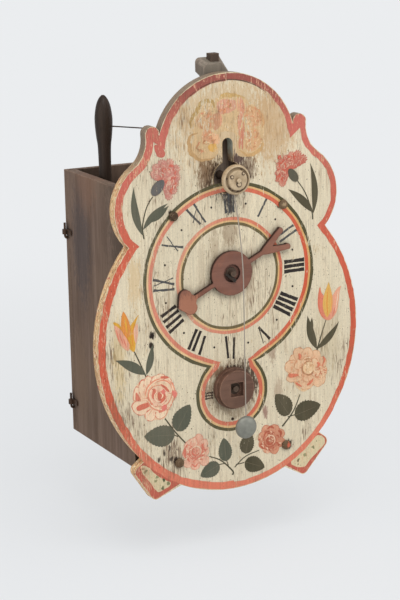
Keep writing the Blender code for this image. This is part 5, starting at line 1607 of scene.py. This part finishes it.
# %% [markdown]
# ## Flowers
# Carnations are fans of ragged petals that spring from a green cup. Each petal is one stroke, darker at its
# root. Thin pale strokes pick out its rim, and quick touches are scattered over the whole.

# %% Carnations
LEAST_TOUCH, TOUCH_RANGE = 0.3, 0.4  # half length of a touch, as shares of its size
TOUCH_BEND, TOUCH_TIP, TOUCH_SWELL = 0.5, 0.15, 0.6
PETAL_ROWS = ((9, 1, 0), (8, 0.72, 0.25), (6, 0.46, 0.5))  # petals, share of the reach, darkness
RIM_STEPS = 10
NOTCH, SHOULDER_DROP = 0.09, 0.16  # depth of the teeth, and how far a petal's corners fall back
PALE_RIM_KNOTS = ((0.8, -0.6), (0.9, 0), (0.78, 0.6))  # shares of the length and of the half angle


def scribble(sheet, centre, reach, strokes, size, pigments):
    """Short bent strokes scattered round a centre, the quick light and dark touches of a petal."""
    dice = random.Random(strokes + 100.0 * centre[0] + centre[1])
    for number in range(strokes):
        place = polar(centre, reach * math.sqrt(dice.random()), 360 * dice.random())
        turn = 360 * dice.random()
        half = size * (LEAST_TOUCH + TOUCH_RANGE * dice.random())
        bend = polar(place, TOUCH_BEND * half, turn + 90)
        knots = (polar(place, half, turn), bend, polar(place, half, turn + 180))
        pigment = pigments[number % len(pigments)]
        line(sheet, knots, TOUCH_TIP, TOUCH_TIP, pigment, TOUCH_SWELL * half)


def carnation(sheet, base, turn, fan, reach, seed, colour):
    """Ragged wedges round a base, then shorter ones on top, each with a pale broken rim."""
    for petals, share, dark in PETAL_ROWS:
        for number in range(petals):
            angle = turn + fan * (number / (petals - 1) - 0.5) + 5 * chance(number, share, seed)
            length = reach * share * (1 + 0.22 * chance(number, 2 + share, seed))
            half_angle = 0.66 * fan / petals
            outline = [base]
            for step in range(RIM_STEPS + 1):
                across = 2 * step / RIM_STEPS - 1
                bite = 1 - NOTCH * (step % 2) - SHOULDER_DROP * abs(across) ** 3
                outline.append(polar(base, length * bite, angle + half_angle * across))
            rim = part_way(colour, PINK, 0.14 * (1 + number % 3) * (1 - dark))
            dab(sheet, outline, [part_way(rim, CORAL, 0.7)] + [rim] * (RIM_STEPS + 1))
            pale_rim = []
            for part, across in PALE_RIM_KNOTS:
                pale_rim.append(polar(base, length * part, angle + half_angle * across))
            line(sheet, pale_rim, 0.2, 0.2, part_way(colour, LIGHT, 0.5), swell=0.35)
            streak = (polar(base, 0.55 * length, angle), polar(base, 0.95 * length, angle + 0.3 * half_angle))
            line(sheet, streak, 0.2, 0.3, part_way(colour, LIGHT, 0.3), swell=0.6)


CARNATIONS = (              # name, base, turn, foot of the cup, petals, cup, width of the cup
    ("paint_carnation_left", (-61.8, 88), 36, (-71.4, 77.5), srgb(194, 132, 122), LEFT_CALYX, 9),
    ("paint_carnation_right", (59.5, 86.5), 136, (67, 76.5), srgb(178, 92, 78), RIGHT_CALYX, 7.6),
)
for name, base, turn, cup, colour, cup_colour, cup_width in CARNATIONS:
    flower = new_sheet(level=0.15)
    carnation(flower, base, turn, fan=204, reach=17.6, seed=base[0], colour=colour)
    touches = (part_way(colour, LIGHT, 0.5), part_way(colour, CORAL, 0.8), part_way(colour, PINK, 0.4))
    scribble(flower, polar(base, 9.5, turn), reach=8, strokes=34, size=3, pigments=touches)
    for wing in (65, -65):
        scribble(flower, polar(base, 10, turn + wing), reach=5, strokes=14, size=3, pigments=touches)
    tip = part_way(cup, base, 1.12)
    leaf(flower, cup, tip, cup_width, 0, cup_colour, fullness=0.9, roundness=0.5)
    hang(flower, name, kept_paint)

# %% [markdown]
# Tulips are three pointed petals. The left one is yellow with pink flanks and the right one pink with a
# yellow heart, so each is drawn by itself: closed patches first, then thin lines that part the petals.

# %% Tulips
left_tulip = new_sheet(level=0.15)
dab(left_tulip, loop((
    (-110.5, -28), (-106, -29), (-101, -35), (-97, -36), (-94, -31), (-87, -23.5), (-89.5, -29),
    (-91.5, -38), (-90.5, -47), (-92, -55), (-96.5, -51.5), (-102.5, -41.5),
)), GOLD)
dab(left_tulip, loop((
    (-109.5, -30), (-108, -39), (-104, -48), (-97.5, -53.5), (-96.5, -46), (-102.5, -36),
)), srgb(222, 162, 134))
dab(left_tulip, loop((
    (-88.5, -31), (-88, -39.5), (-90, -48), (-91.5, -45), (-92, -36),
)), srgb(226, 174, 146))
for start, end in (
    ((-105.5, -45), (-108, -34)), ((-102, -47.5), (-105.5, -37)), ((-99, -50.5), (-102, -42)),
):
    line(left_tulip, (start, end), 0.3, 0.3, part_way(CORAL, PINK, 0.3), swell=0.9)
leaf(left_tulip, (-97, -42), (-101, -19), 8.2, 0.5, AMBER, fullness=0.7, roundness=0.7)
line(left_tulip, ((-94, -52), (-98.5, -42), (-105, -32)), 0.4, 0.4, AMBER, swell=0.6)
line(left_tulip, ((-93, -50), (-93.5, -40), (-90.5, -30)), 0.4, 0.4, AMBER, swell=0.5)
line(left_tulip, ((-98, -38), (-100, -24)), 0.3, 0.3, GOLD, swell=1.2)
hang(left_tulip, "paint_tulip_left", kept_paint)

right_tulip = new_sheet(level=0.15)
left_flank, right_flank = srgb(216, 116, 90), srgb(226, 164, 134)
body = loop((
    (88.5, -20.5), (90, -25.5), (93.5, -30), (97.5, -32), (102, -29), (105.5, -24.5), (110, -22),
    (108.5, -27), (107.5, -35), (105, -45.5), (98.5, -51.5), (91.5, -49), (87, -40.5), (86.5, -30),
))
dab(right_tulip, body, [part_way(left_flank, right_flank, clamped((x - 88) / 16)) for x, z in body])
for start, end in (
    ((103.5, -46), (106.5, -32)), ((90, -46), (88, -32)), ((101, -49), (104, -40)),
):
    line(right_tulip, (start, end), 0.3, 0.3, part_way(CORAL, PINK, 0.35), swell=1.1)
leaf(right_tulip, (95.5, -49), (97.5, -17), 10, 0, srgb(220, 172, 84), fullness=0.8)
line(right_tulip, ((96.5, -48), (95.5, -36), (97, -22)), 0.4, 0.3, AMBER, swell=0.6)
line(right_tulip, ((99.5, -46), (100.5, -36), (98.5, -24)), 0.4, 0.3, srgb(230, 150, 90), swell=0.5)
line(right_tulip, ((104, -44), (106, -34), (107, -26)), 0.4, 0.3, LIGHT, swell=0.5)
hang(right_tulip, "paint_tulip_right", kept_paint)

# %% [markdown]
# ## Roses
# The roses are built from petals in the way the painter did it: a pale patch with a loose outline, petals
# laid over it from the outside in, each pale with a thin coral edge, and a few full coral strokes where
# the flower turns away from the light.

# %% Rose helpers
def petal(sheet, knots, fill, root, rim, rim_width=0.7):
    """A petal through a few knots: darker at its root, the first knot, with streaks and a broken rim."""
    outline = shaky(loop(knots, 4), size=0.7, seed=31, pace=0.3)
    far = max(math.dist(outline[0], point) for point in outline)
    tints = [part_way(root, fill, clamped(1.4 * math.dist(outline[0], point) / far)) for point in outline]
    dab(sheet, outline, tints)
    for share in (0.34, 0.5, 0.66):
        goal = outline[int(share * len(outline))]
        reach = 0.62 + 0.25 * chance(*goal, seed=35)
        tint = part_way(part_way(root, rim, 0.45), fill, 0.4 + 0.4 * chance(*goal, seed=36))
        streak = (part_way(outline[0], goal, 0.18), part_way(outline[0], goal, reach))
        line(sheet, streak, TOUCH_TIP, TOUCH_TIP, tint, swell=0.06 * far)
    rim_run = outline[3:-3]
    widths = [max(rim_width * (0.7 + 1.1 * chance(x, z, seed=33)), 0.06) for x, z in rim_run]
    tints = [part_way(rim, fill, 0.2 + 0.3 * chance(x, z, seed=34)) for x, z in rim_run + rim_run[::-1]]
    dab(sheet, ribbon(rim_run, widths), tints)


def round_petal(sheet, root, tip, width, fill, shade, rim):
    """A round petal from its root to its tip."""
    run = Vector((tip[0] - root[0], tip[1] - root[1]))
    across = Vector((-run.y, run.x)).normalized() * width / 2
    knots = [root]
    for along, out in ((0.45, 0.9), (0.84, 0.75), (1, 0), (0.84, -0.75), (0.45, -0.9)):
        knots.append(tuple(Vector(root) + run * along + across * out))
    petal(sheet, knots, part_way(fill, shade, 0.25 * (1 + chance(*tip, seed=3))), shade, rim)


def swirl(sheet, centre, radius, turn, pigment, width):
    """A curl of two arcs at the heart of a rose."""
    line(sheet, arc(centre, radius, turn, turn + 160, 4), 0.3, 0.3, pigment, width)
    line(sheet, arc(centre, 0.55 * radius, turn + 170, turn + 330, 4), 0.3, 0.3, pigment, width)


def curled_layers(sheet, centre, radii, turn, dark, pale):
    """Broken arcs from the outside in, a pale one inside each dark one, as petals overlap."""
    for number, radius in enumerate(radii):
        for part in range(3):
            start = turn + 55 * number + 120 * part
            for inset, pigment, width in ((0, dark, 1.1), (1, pale, 0.9)):
                knots = []
                for step in range(5):
                    wander = 1 + 0.1 * chance(number + step, part, radius)
                    knots.append(polar(centre, (radius - inset) * wander, start + 25 * step))
                line(sheet, knots, 0.2, 0.2, pigment, width)


# %% [markdown]
# The left rose opens to one side. Its outer petals are all different, so each has its own knots, and a ring
# of round petals makes its heart.

# %% Left rose
LEFT_PETALS = (
    ((-76, -99), (-82, -97.5), (-91, -98.5), (-95.5, -102.5), (-93, -109), (-85, -111.5), (-79, -107)),
    ((-85.5, -98.5), (-93.5, -97.5), (-94, -91.5), (-91.5, -86.5), (-88, -88)),
    ((-83, -97.5), (-88.5, -92), (-88.5, -85), (-85, -80.5), (-81.5, -85)),
    ((-80, -95), (-84, -88), (-82.5, -79.5), (-78.5, -78), (-76.5, -84)),
    ((-72, -88), (-77.5, -86), (-76.5, -80), (-70, -78), (-64.5, -79.5), (-64, -85)),
    ((-65.5, -91), (-66, -84), (-60.5, -82), (-57, -88), (-57.5, -95), (-61.5, -96.5)),
    ((-65, -99), (-60, -96), (-56.5, -99.5), (-59, -107), (-64, -110.5)),
    ((-69, -105), (-64.5, -107.5), (-63, -113), (-68, -117.5), (-73.5, -116), (-74, -109.5)),
    ((-74, -105), (-74, -113), (-77.5, -118), (-83.5, -115.5), (-83, -110.5), (-79, -107.5)),
)
left_rose = new_sheet(level=0.1)
dab(left_rose, shaky(loop((
    (-94, -102), (-92, -108), (-83.5, -113), (-76, -117.5), (-65.5, -117), (-60, -106.5), (-57.5, -94),
    (-59.5, -85.5), (-66, -80.5), (-80, -79), (-89, -83.5), (-93.5, -93),
)), size=1, seed=37), PEACH)
for knots in LEFT_PETALS:
    petal(left_rose, knots, LIGHT, PEACH, CORAL, rim_width=0.8)
LEFT_HEART = (-71.5, -97)
for angle in (20, 92, 164, 236, 308):
    root, tip = polar(LEFT_HEART, 2, angle), polar(LEFT_HEART, 9.5, angle)
    round_petal(left_rose, root, tip, 11, LIGHT, PINK, CORAL)
FULL_STROKES = (
    ((-91.5, -105.5), (-89, -102.5), (-78, -101.5), (-77, -104), (-89, -107.5)),
    ((-92, -98), (-91.5, -91), (-89, -94), (-87.5, -98.5)),
    ((-68.5, -80.5), (-64, -80), (-60.5, -82), (-64.5, -82.5)),
    ((-68.5, -87), (-63, -90), (-60, -95), (-63.5, -92.5)),
    ((-71, -94), (-65.5, -94), (-64, -100), (-69, -103.5), (-71, -100)),
    ((-71, -109.5), (-66.5, -107), (-65, -110.5), (-70, -112)),
    ((-75.5, -90), (-73, -91.5), (-74.5, -99), (-77, -97)),
)
PINK_PATCHES = (
    ((-68, -92.5), (-65, -92), (-64, -95), (-67, -96)),
    ((-67.5, -106.5), (-64, -105.5), (-63.5, -109.5), (-67, -111)),
    ((-57.5, -95), (-54.5, -94), (-53.5, -98.5), (-56, -100.5)),
)
for knots in FULL_STROKES:
    tint = part_way(CORAL, PINK, 0.25 + 0.25 * chance(*knots[0], seed=43))
    dab(left_rose, shaky(loop(knots), size=0.4, seed=39, pace=0.4), tint)
curled_layers(left_rose, (-68.5, -95.5), (13.5, 11), -40, srgb(228, 150, 120), LIGHT)
swirl(left_rose, (-69.5, -97), 5, 120, LIGHT, 0.9)
for knots in PINK_PATCHES:
    dab(left_rose, shaky(loop(knots), size=0.9, seed=40, pace=0.6), srgb(222, 126, 112))
line(left_rose, ((-57.5, -93.5), (-53, -97), (-56, -103)), 0.2, 0.2, PINK, swell=0.5)
hang(left_rose, "paint_rose_left", kept_paint)

# %% [markdown]
# The right rose is paler and rounder: two rings of round petals, which a root, a tip and a width describe
# well enough. Scattered touches and a few full strokes give it depth.

# %% Right rose
RIGHT_HEART = (76, -92.5)
RIGHT_PETALS = (            # root, tip, width
    ((70, -88), (58, -80), 11), ((69, -91.5), (52.5, -87.5), 12.5), ((70, -97.5), (54.5, -99.5), 10.5),
    ((74.5, -99), (72.5, -112), 16), ((81, -99), (91, -109), 13.5), ((83, -96.5), (94.5, -98.5), 11.5),
    ((82, -92.5), (94, -87.5), 11.5), ((78.5, -88.5), (86.5, -78.5), 12), ((72, -89.5), (64.5, -73), 11.5),
    ((74, -87), (76, -74), 12), ((72.5, -92), (63, -85.5), 9.5), ((73.5, -95.5), (65.5, -96.5), 9),
    ((78.5, -92.5), (85, -86), 9.5), ((79, -95.5), (87.5, -99), 10), ((75, -97), (76, -105), 10.5),
    ((74.5, -91.5), (74.5, -82), 10.5),
)
TOUCHES = (                 # knots and width of the full coral strokes
    (((56, -96), (58.5, -97), (66, -97.5)), 3.2),
    (((66.5, -78), (67.5, -80.5), (67, -83.5)), 2.2),
    (((85, -88.5), (86.5, -90.5), (85, -93)), 2.2),
    (((63, -104), (65, -106), (69, -108.5)), 1.4),
    (((74.5, -108), (77.5, -106.5), (80.5, -103.5)), 1.6),
    (((91, -84), (92.5, -87), (91, -90.5)), 1.2),
)
PALE_FILL, PALE_SHADE, PALE_RIM = srgb(232, 200, 162), srgb(222, 166, 128), srgb(200, 136, 98)
right_rose = new_sheet(level=0.1)
dab(right_rose, shaky(loop((
    (54.5, -88), (60.5, -79.5), (67, -75), (77.5, -76), (86, -80.5), (92.5, -89.5), (91, -101),
    (86.5, -107), (78, -110.5), (71.5, -114), (64, -109), (60, -101), (56, -97),
)), size=1, seed=47), srgb(228, 194, 152))
for root, tip, width in RIGHT_PETALS:
    round_petal(right_rose, root, tip, width, PALE_FILL, PALE_SHADE, PALE_RIM)
ROSY_TOUCHES = (srgb(216, 142, 110), srgb(236, 200, 160), srgb(200, 128, 96))
scribble(right_rose, (86, -98), reach=9, strokes=34, size=2.6, pigments=ROSY_TOUCHES)
PALE_TOUCHES = (srgb(222, 164, 126), srgb(238, 210, 174))
scribble(right_rose, (70, -92), reach=14, strokes=26, size=2.4, pigments=PALE_TOUCHES)
dab(right_rose, shaky(arc(RIGHT_HEART, 5.8, 0, 340, 17), size=1.6, seed=51, pace=0.3), srgb(228, 192, 150))
for start, end, width in ((150, 235, 1), (245, 330, 1.2), (60, 135, 0.7)):
    line(right_rose, arc(RIGHT_HEART, 6.3, start, end, 4), 0.2, 0.2, srgb(184, 130, 92), width)
HEART_TOUCHES = (srgb(206, 156, 116), srgb(238, 210, 172))
scribble(right_rose, (76, -93), reach=5, strokes=12, size=2.4, pigments=HEART_TOUCHES)
line(right_rose, ((71.5, -84.5), (75, -84), (79.5, -85)), 0.2, 0.2, srgb(190, 136, 96), swell=0.9)
for knots, width in TOUCHES:
    line(right_rose, knots, 0.6, 0.4, srgb(218, 126, 96), width)
hang(right_rose, "paint_rose_right", kept_paint)

# %% [markdown]
# Two small roses hang below the large ones, the left one pale and the right one deep. They were painted in
# the same order, so one function takes the petals, the colours and the turned edges of either.

# %% Small roses
SMALL_LEFT = (
    ((-36.5, -149), (-32, -137), 9), ((-32.5, -149.5), (-25.5, -143.5), 8.5),
    ((-31, -152), (-24, -154.5), 9.5), ((-32.5, -157), (-25, -165), 9), ((-41, -158.5), (-47, -164), 9),
    ((-36.5, -159), (-37, -168.5), 9), ((-41.5, -152), (-49, -152.5), 10),
    ((-40.5, -148), (-45.5, -142.5), 9), ((-38, -147.5), (-39.5, -139.5), 8),
)
SMALL_RIGHT = (
    ((36.5, -152.5), (31, -139), 10), ((40, -152), (51, -147), 9.5), ((40, -154.5), (51, -157.5), 9.5),
    ((38, -155.5), (43, -166), 9.5), ((35.5, -155.5), (32.5, -164.5), 9),
    ((34, -153.5), (25.5, -157.5), 9), ((34, -151), (25.5, -147), 9.5), ((38.5, -152), (42, -139.5), 10.5),
)


def small_rose(name, petals, heart, fill, root, touches):
    """Petals, scattered touches, a pale cup with a curl in it, and full strokes at the turned edges."""
    sheet = new_sheet(level=0.1)
    dab(sheet, shaky(arc(heart, 10.5, 0, 345, 23), size=2, seed=heart[0]), part_way(root, fill, 0.6))
    for start, tip, width in petals:
        round_petal(sheet, start, tip, width, fill, part_way(root, fill, 0.35), part_way(root, fill, 0.2))
    for knots, width in touches:
        line(sheet, knots, 0.4, 0.4, root, width)
    rosy = (root, part_way(fill, LIGHT, 0.5), part_way(root, fill, 0.4))
    scribble(sheet, heart, reach=11, strokes=60, size=2.8, pigments=rosy)
    line(sheet, arc(heart, 5.8, 170, 400, 9), 0.2, 0.2, part_way(root, fill, 0.1), swell=1.2)
    line(sheet, arc(heart, 4.8, -50, 160, 8), 0.2, 0.2, part_way(fill, LIGHT, 0.6), swell=1)
    line(sheet, arc(heart, 3.4, 120, 330, 8), 0.2, 0.2, root, swell=1.4)
    swirl(sheet, heart, 1.8, 40, part_way(root, fill, 0.3), 1.2)
    hang(sheet, name, kept_paint)


small_rose("paint_small_rose_left", SMALL_LEFT, (-36.5, -152), srgb(236, 198, 170), srgb(216, 126, 104), (
    (((-44.5, -144), (-47, -152), (-42.5, -160.5)), 3),
    (((-30.5, -146), (-29, -153), (-31.5, -160)), 2.2),
    (((-41.5, -147.5), (-43, -153.5), (-39.5, -159)), 1.6),
    (((-40.5, -162.5), (-37.5, -165.5), (-35, -163)), 1.2),
))
small_rose("paint_small_rose_right", SMALL_RIGHT, (36.5, -153.5), srgb(216, 158, 126), srgb(180, 96, 72), (
    (((34, -142.5), (37.5, -141), (41, -143)), 1.8),
    (((44.5, -145.5), (47.5, -147.5), (47, -151.5)), 2),
    (((27.5, -153.5), (28.5, -157.5), (32, -160)), 2.8),
    (((31.5, -160.5), (36.5, -162), (41, -160)), 1.6),
    (((30, -149.5), (32.5, -145.5), (36.5, -145)), 1.4),
))

# %% [markdown]
# ## Faded bloom on the arch
# The arch once carried one large flower. Most of it is gone: patches of pink and ochre remain, in upright
# streaks, round the slot for the pendulum. The strokes keep clear of the slot.

# %% Bloom strokes
bloom = new_sheet()
dab(bloom, shaky(loop((
    (-33, 133), (-29, 143), (-21, 151), (-8, 155), (8, 156), (20, 150), (31, 140), (35, 127), (33, 113),
    (26, 104.5), (17, 102), (8.5, 106), (7.5, 123.5), (-7.5, 123.5), (-8.5, 107), (-17, 103.5), (-28, 104),
    (-35, 113), (-31, 123),
)), size=1, seed=53), srgb(212, 180, 136))
FAINT_LINES = (             # knots, width, colour
    ((
        (-33.5, 130.5), (-34, 137), (-28.5, 143.5), (-24.5, 151), (-18.5, 153), (-12.5, 150.5),
        (-12, 146.5),
    ), 3.4, OCHRE),
    (((-8.6, 151.5), (-6.1, 155), (1, 156), (9.3, 155), (17.5, 153)), 3, srgb(198, 162, 104)),
    (((22, 146), (31.5, 139), (35, 132), (33, 126)), 2.4, srgb(202, 158, 112)),
    (((33.5, 117), (32.5, 108.5), (21.5, 103), (12, 107.5)), 2.6, srgb(204, 164, 112)),
    ((
        (-28, 126.5), (-35, 123), (-36, 113.5), (-33, 108), (-25, 103), (-12, 103.5),
    ), 3, srgb(194, 156, 108)),
)
FAINT_PATCHES = (
    (((-7.5, 151.5), (8, 151), (7, 143), (-1, 141), (-8, 142)), srgb(212, 158, 130)),
    (((-13, 140), (-6, 141), (-7, 130), (-13, 128)), srgb(198, 146, 112)),
    (((-27, 142), (-15, 145), (-13, 130), (-22, 128), (-28, 133)), srgb(204, 164, 124)),
    (((-23, 127), (-14, 127), (-13, 118), (-22, 117)), srgb(208, 158, 120)),
    (((-14, 125), (-8.2, 123), (-8.2, 116), (-13, 117)), srgb(228, 180, 138)),
    (((-18, 115), (-10, 116), (-11, 110), (-17.5, 109)), srgb(218, 170, 96)),
    (((19, 145), (28, 141), (33, 133), (30, 127), (20, 129)), srgb(212, 166, 124)),
    (((19, 124), (29, 125), (32, 115), (27, 107), (18, 108)), srgb(212, 168, 124)),
)
RED_STREAKS = (             # x, upper end, lower end, width
    (10.5, 153, 141, 1.8), (13, 154, 128, 2.8), (15, 152, 136, 1.8), (11.5, 139, 120, 2.2),
    (14, 127, 108, 2.4), (15.5, 133, 117, 1.4), (11.5, 119, 109, 1.6), (-3, 151, 140, 1.3),
    (1.6, 152, 143, 1.3), (-6, 141, 130, 1.4),
)
for knots, pigment in FAINT_PATCHES:
    dab(bloom, shaky(loop(knots), size=1.6, seed=59, pace=0.3), pigment)
for knots, width, pigment in FAINT_LINES:
    line(bloom, shaky(flowing(knots), size=1, seed=61, pace=0.4), 0.6, 0.6, pigment, width)
for x, upper, lower, width in RED_STREAKS:
    streak = shaky([(x, upper), (x + 0.3, (upper + lower) / 2), (x - 0.2, lower)], size=1, seed=63, pace=0.4)
    tint = part_way(srgb(202, 128, 102), srgb(216, 158, 126), 0.5 + chance(x, upper, seed=64))
    line(bloom, streak, 0.4, 0.4, tint, width)
LOBES = (                   # centre, reach, strokes
    ((25.5, 136), 8, 22), ((24.5, 116), 8.5, 24), ((-22, 137), 7.5, 14), ((-25, 114), 7, 12),
    ((-1, 146), 6, 10), ((-17, 121), 6, 10),
)
FAINT_TOUCHES = (srgb(214, 150, 112), srgb(226, 194, 150), srgb(196, 144, 102))
for centre, reach, strokes in LOBES:
    scribble(bloom, centre, reach, strokes, size=3.4, pigments=FAINT_TOUCHES)
hang(bloom, "paint_arch_bloom", faded_paint)
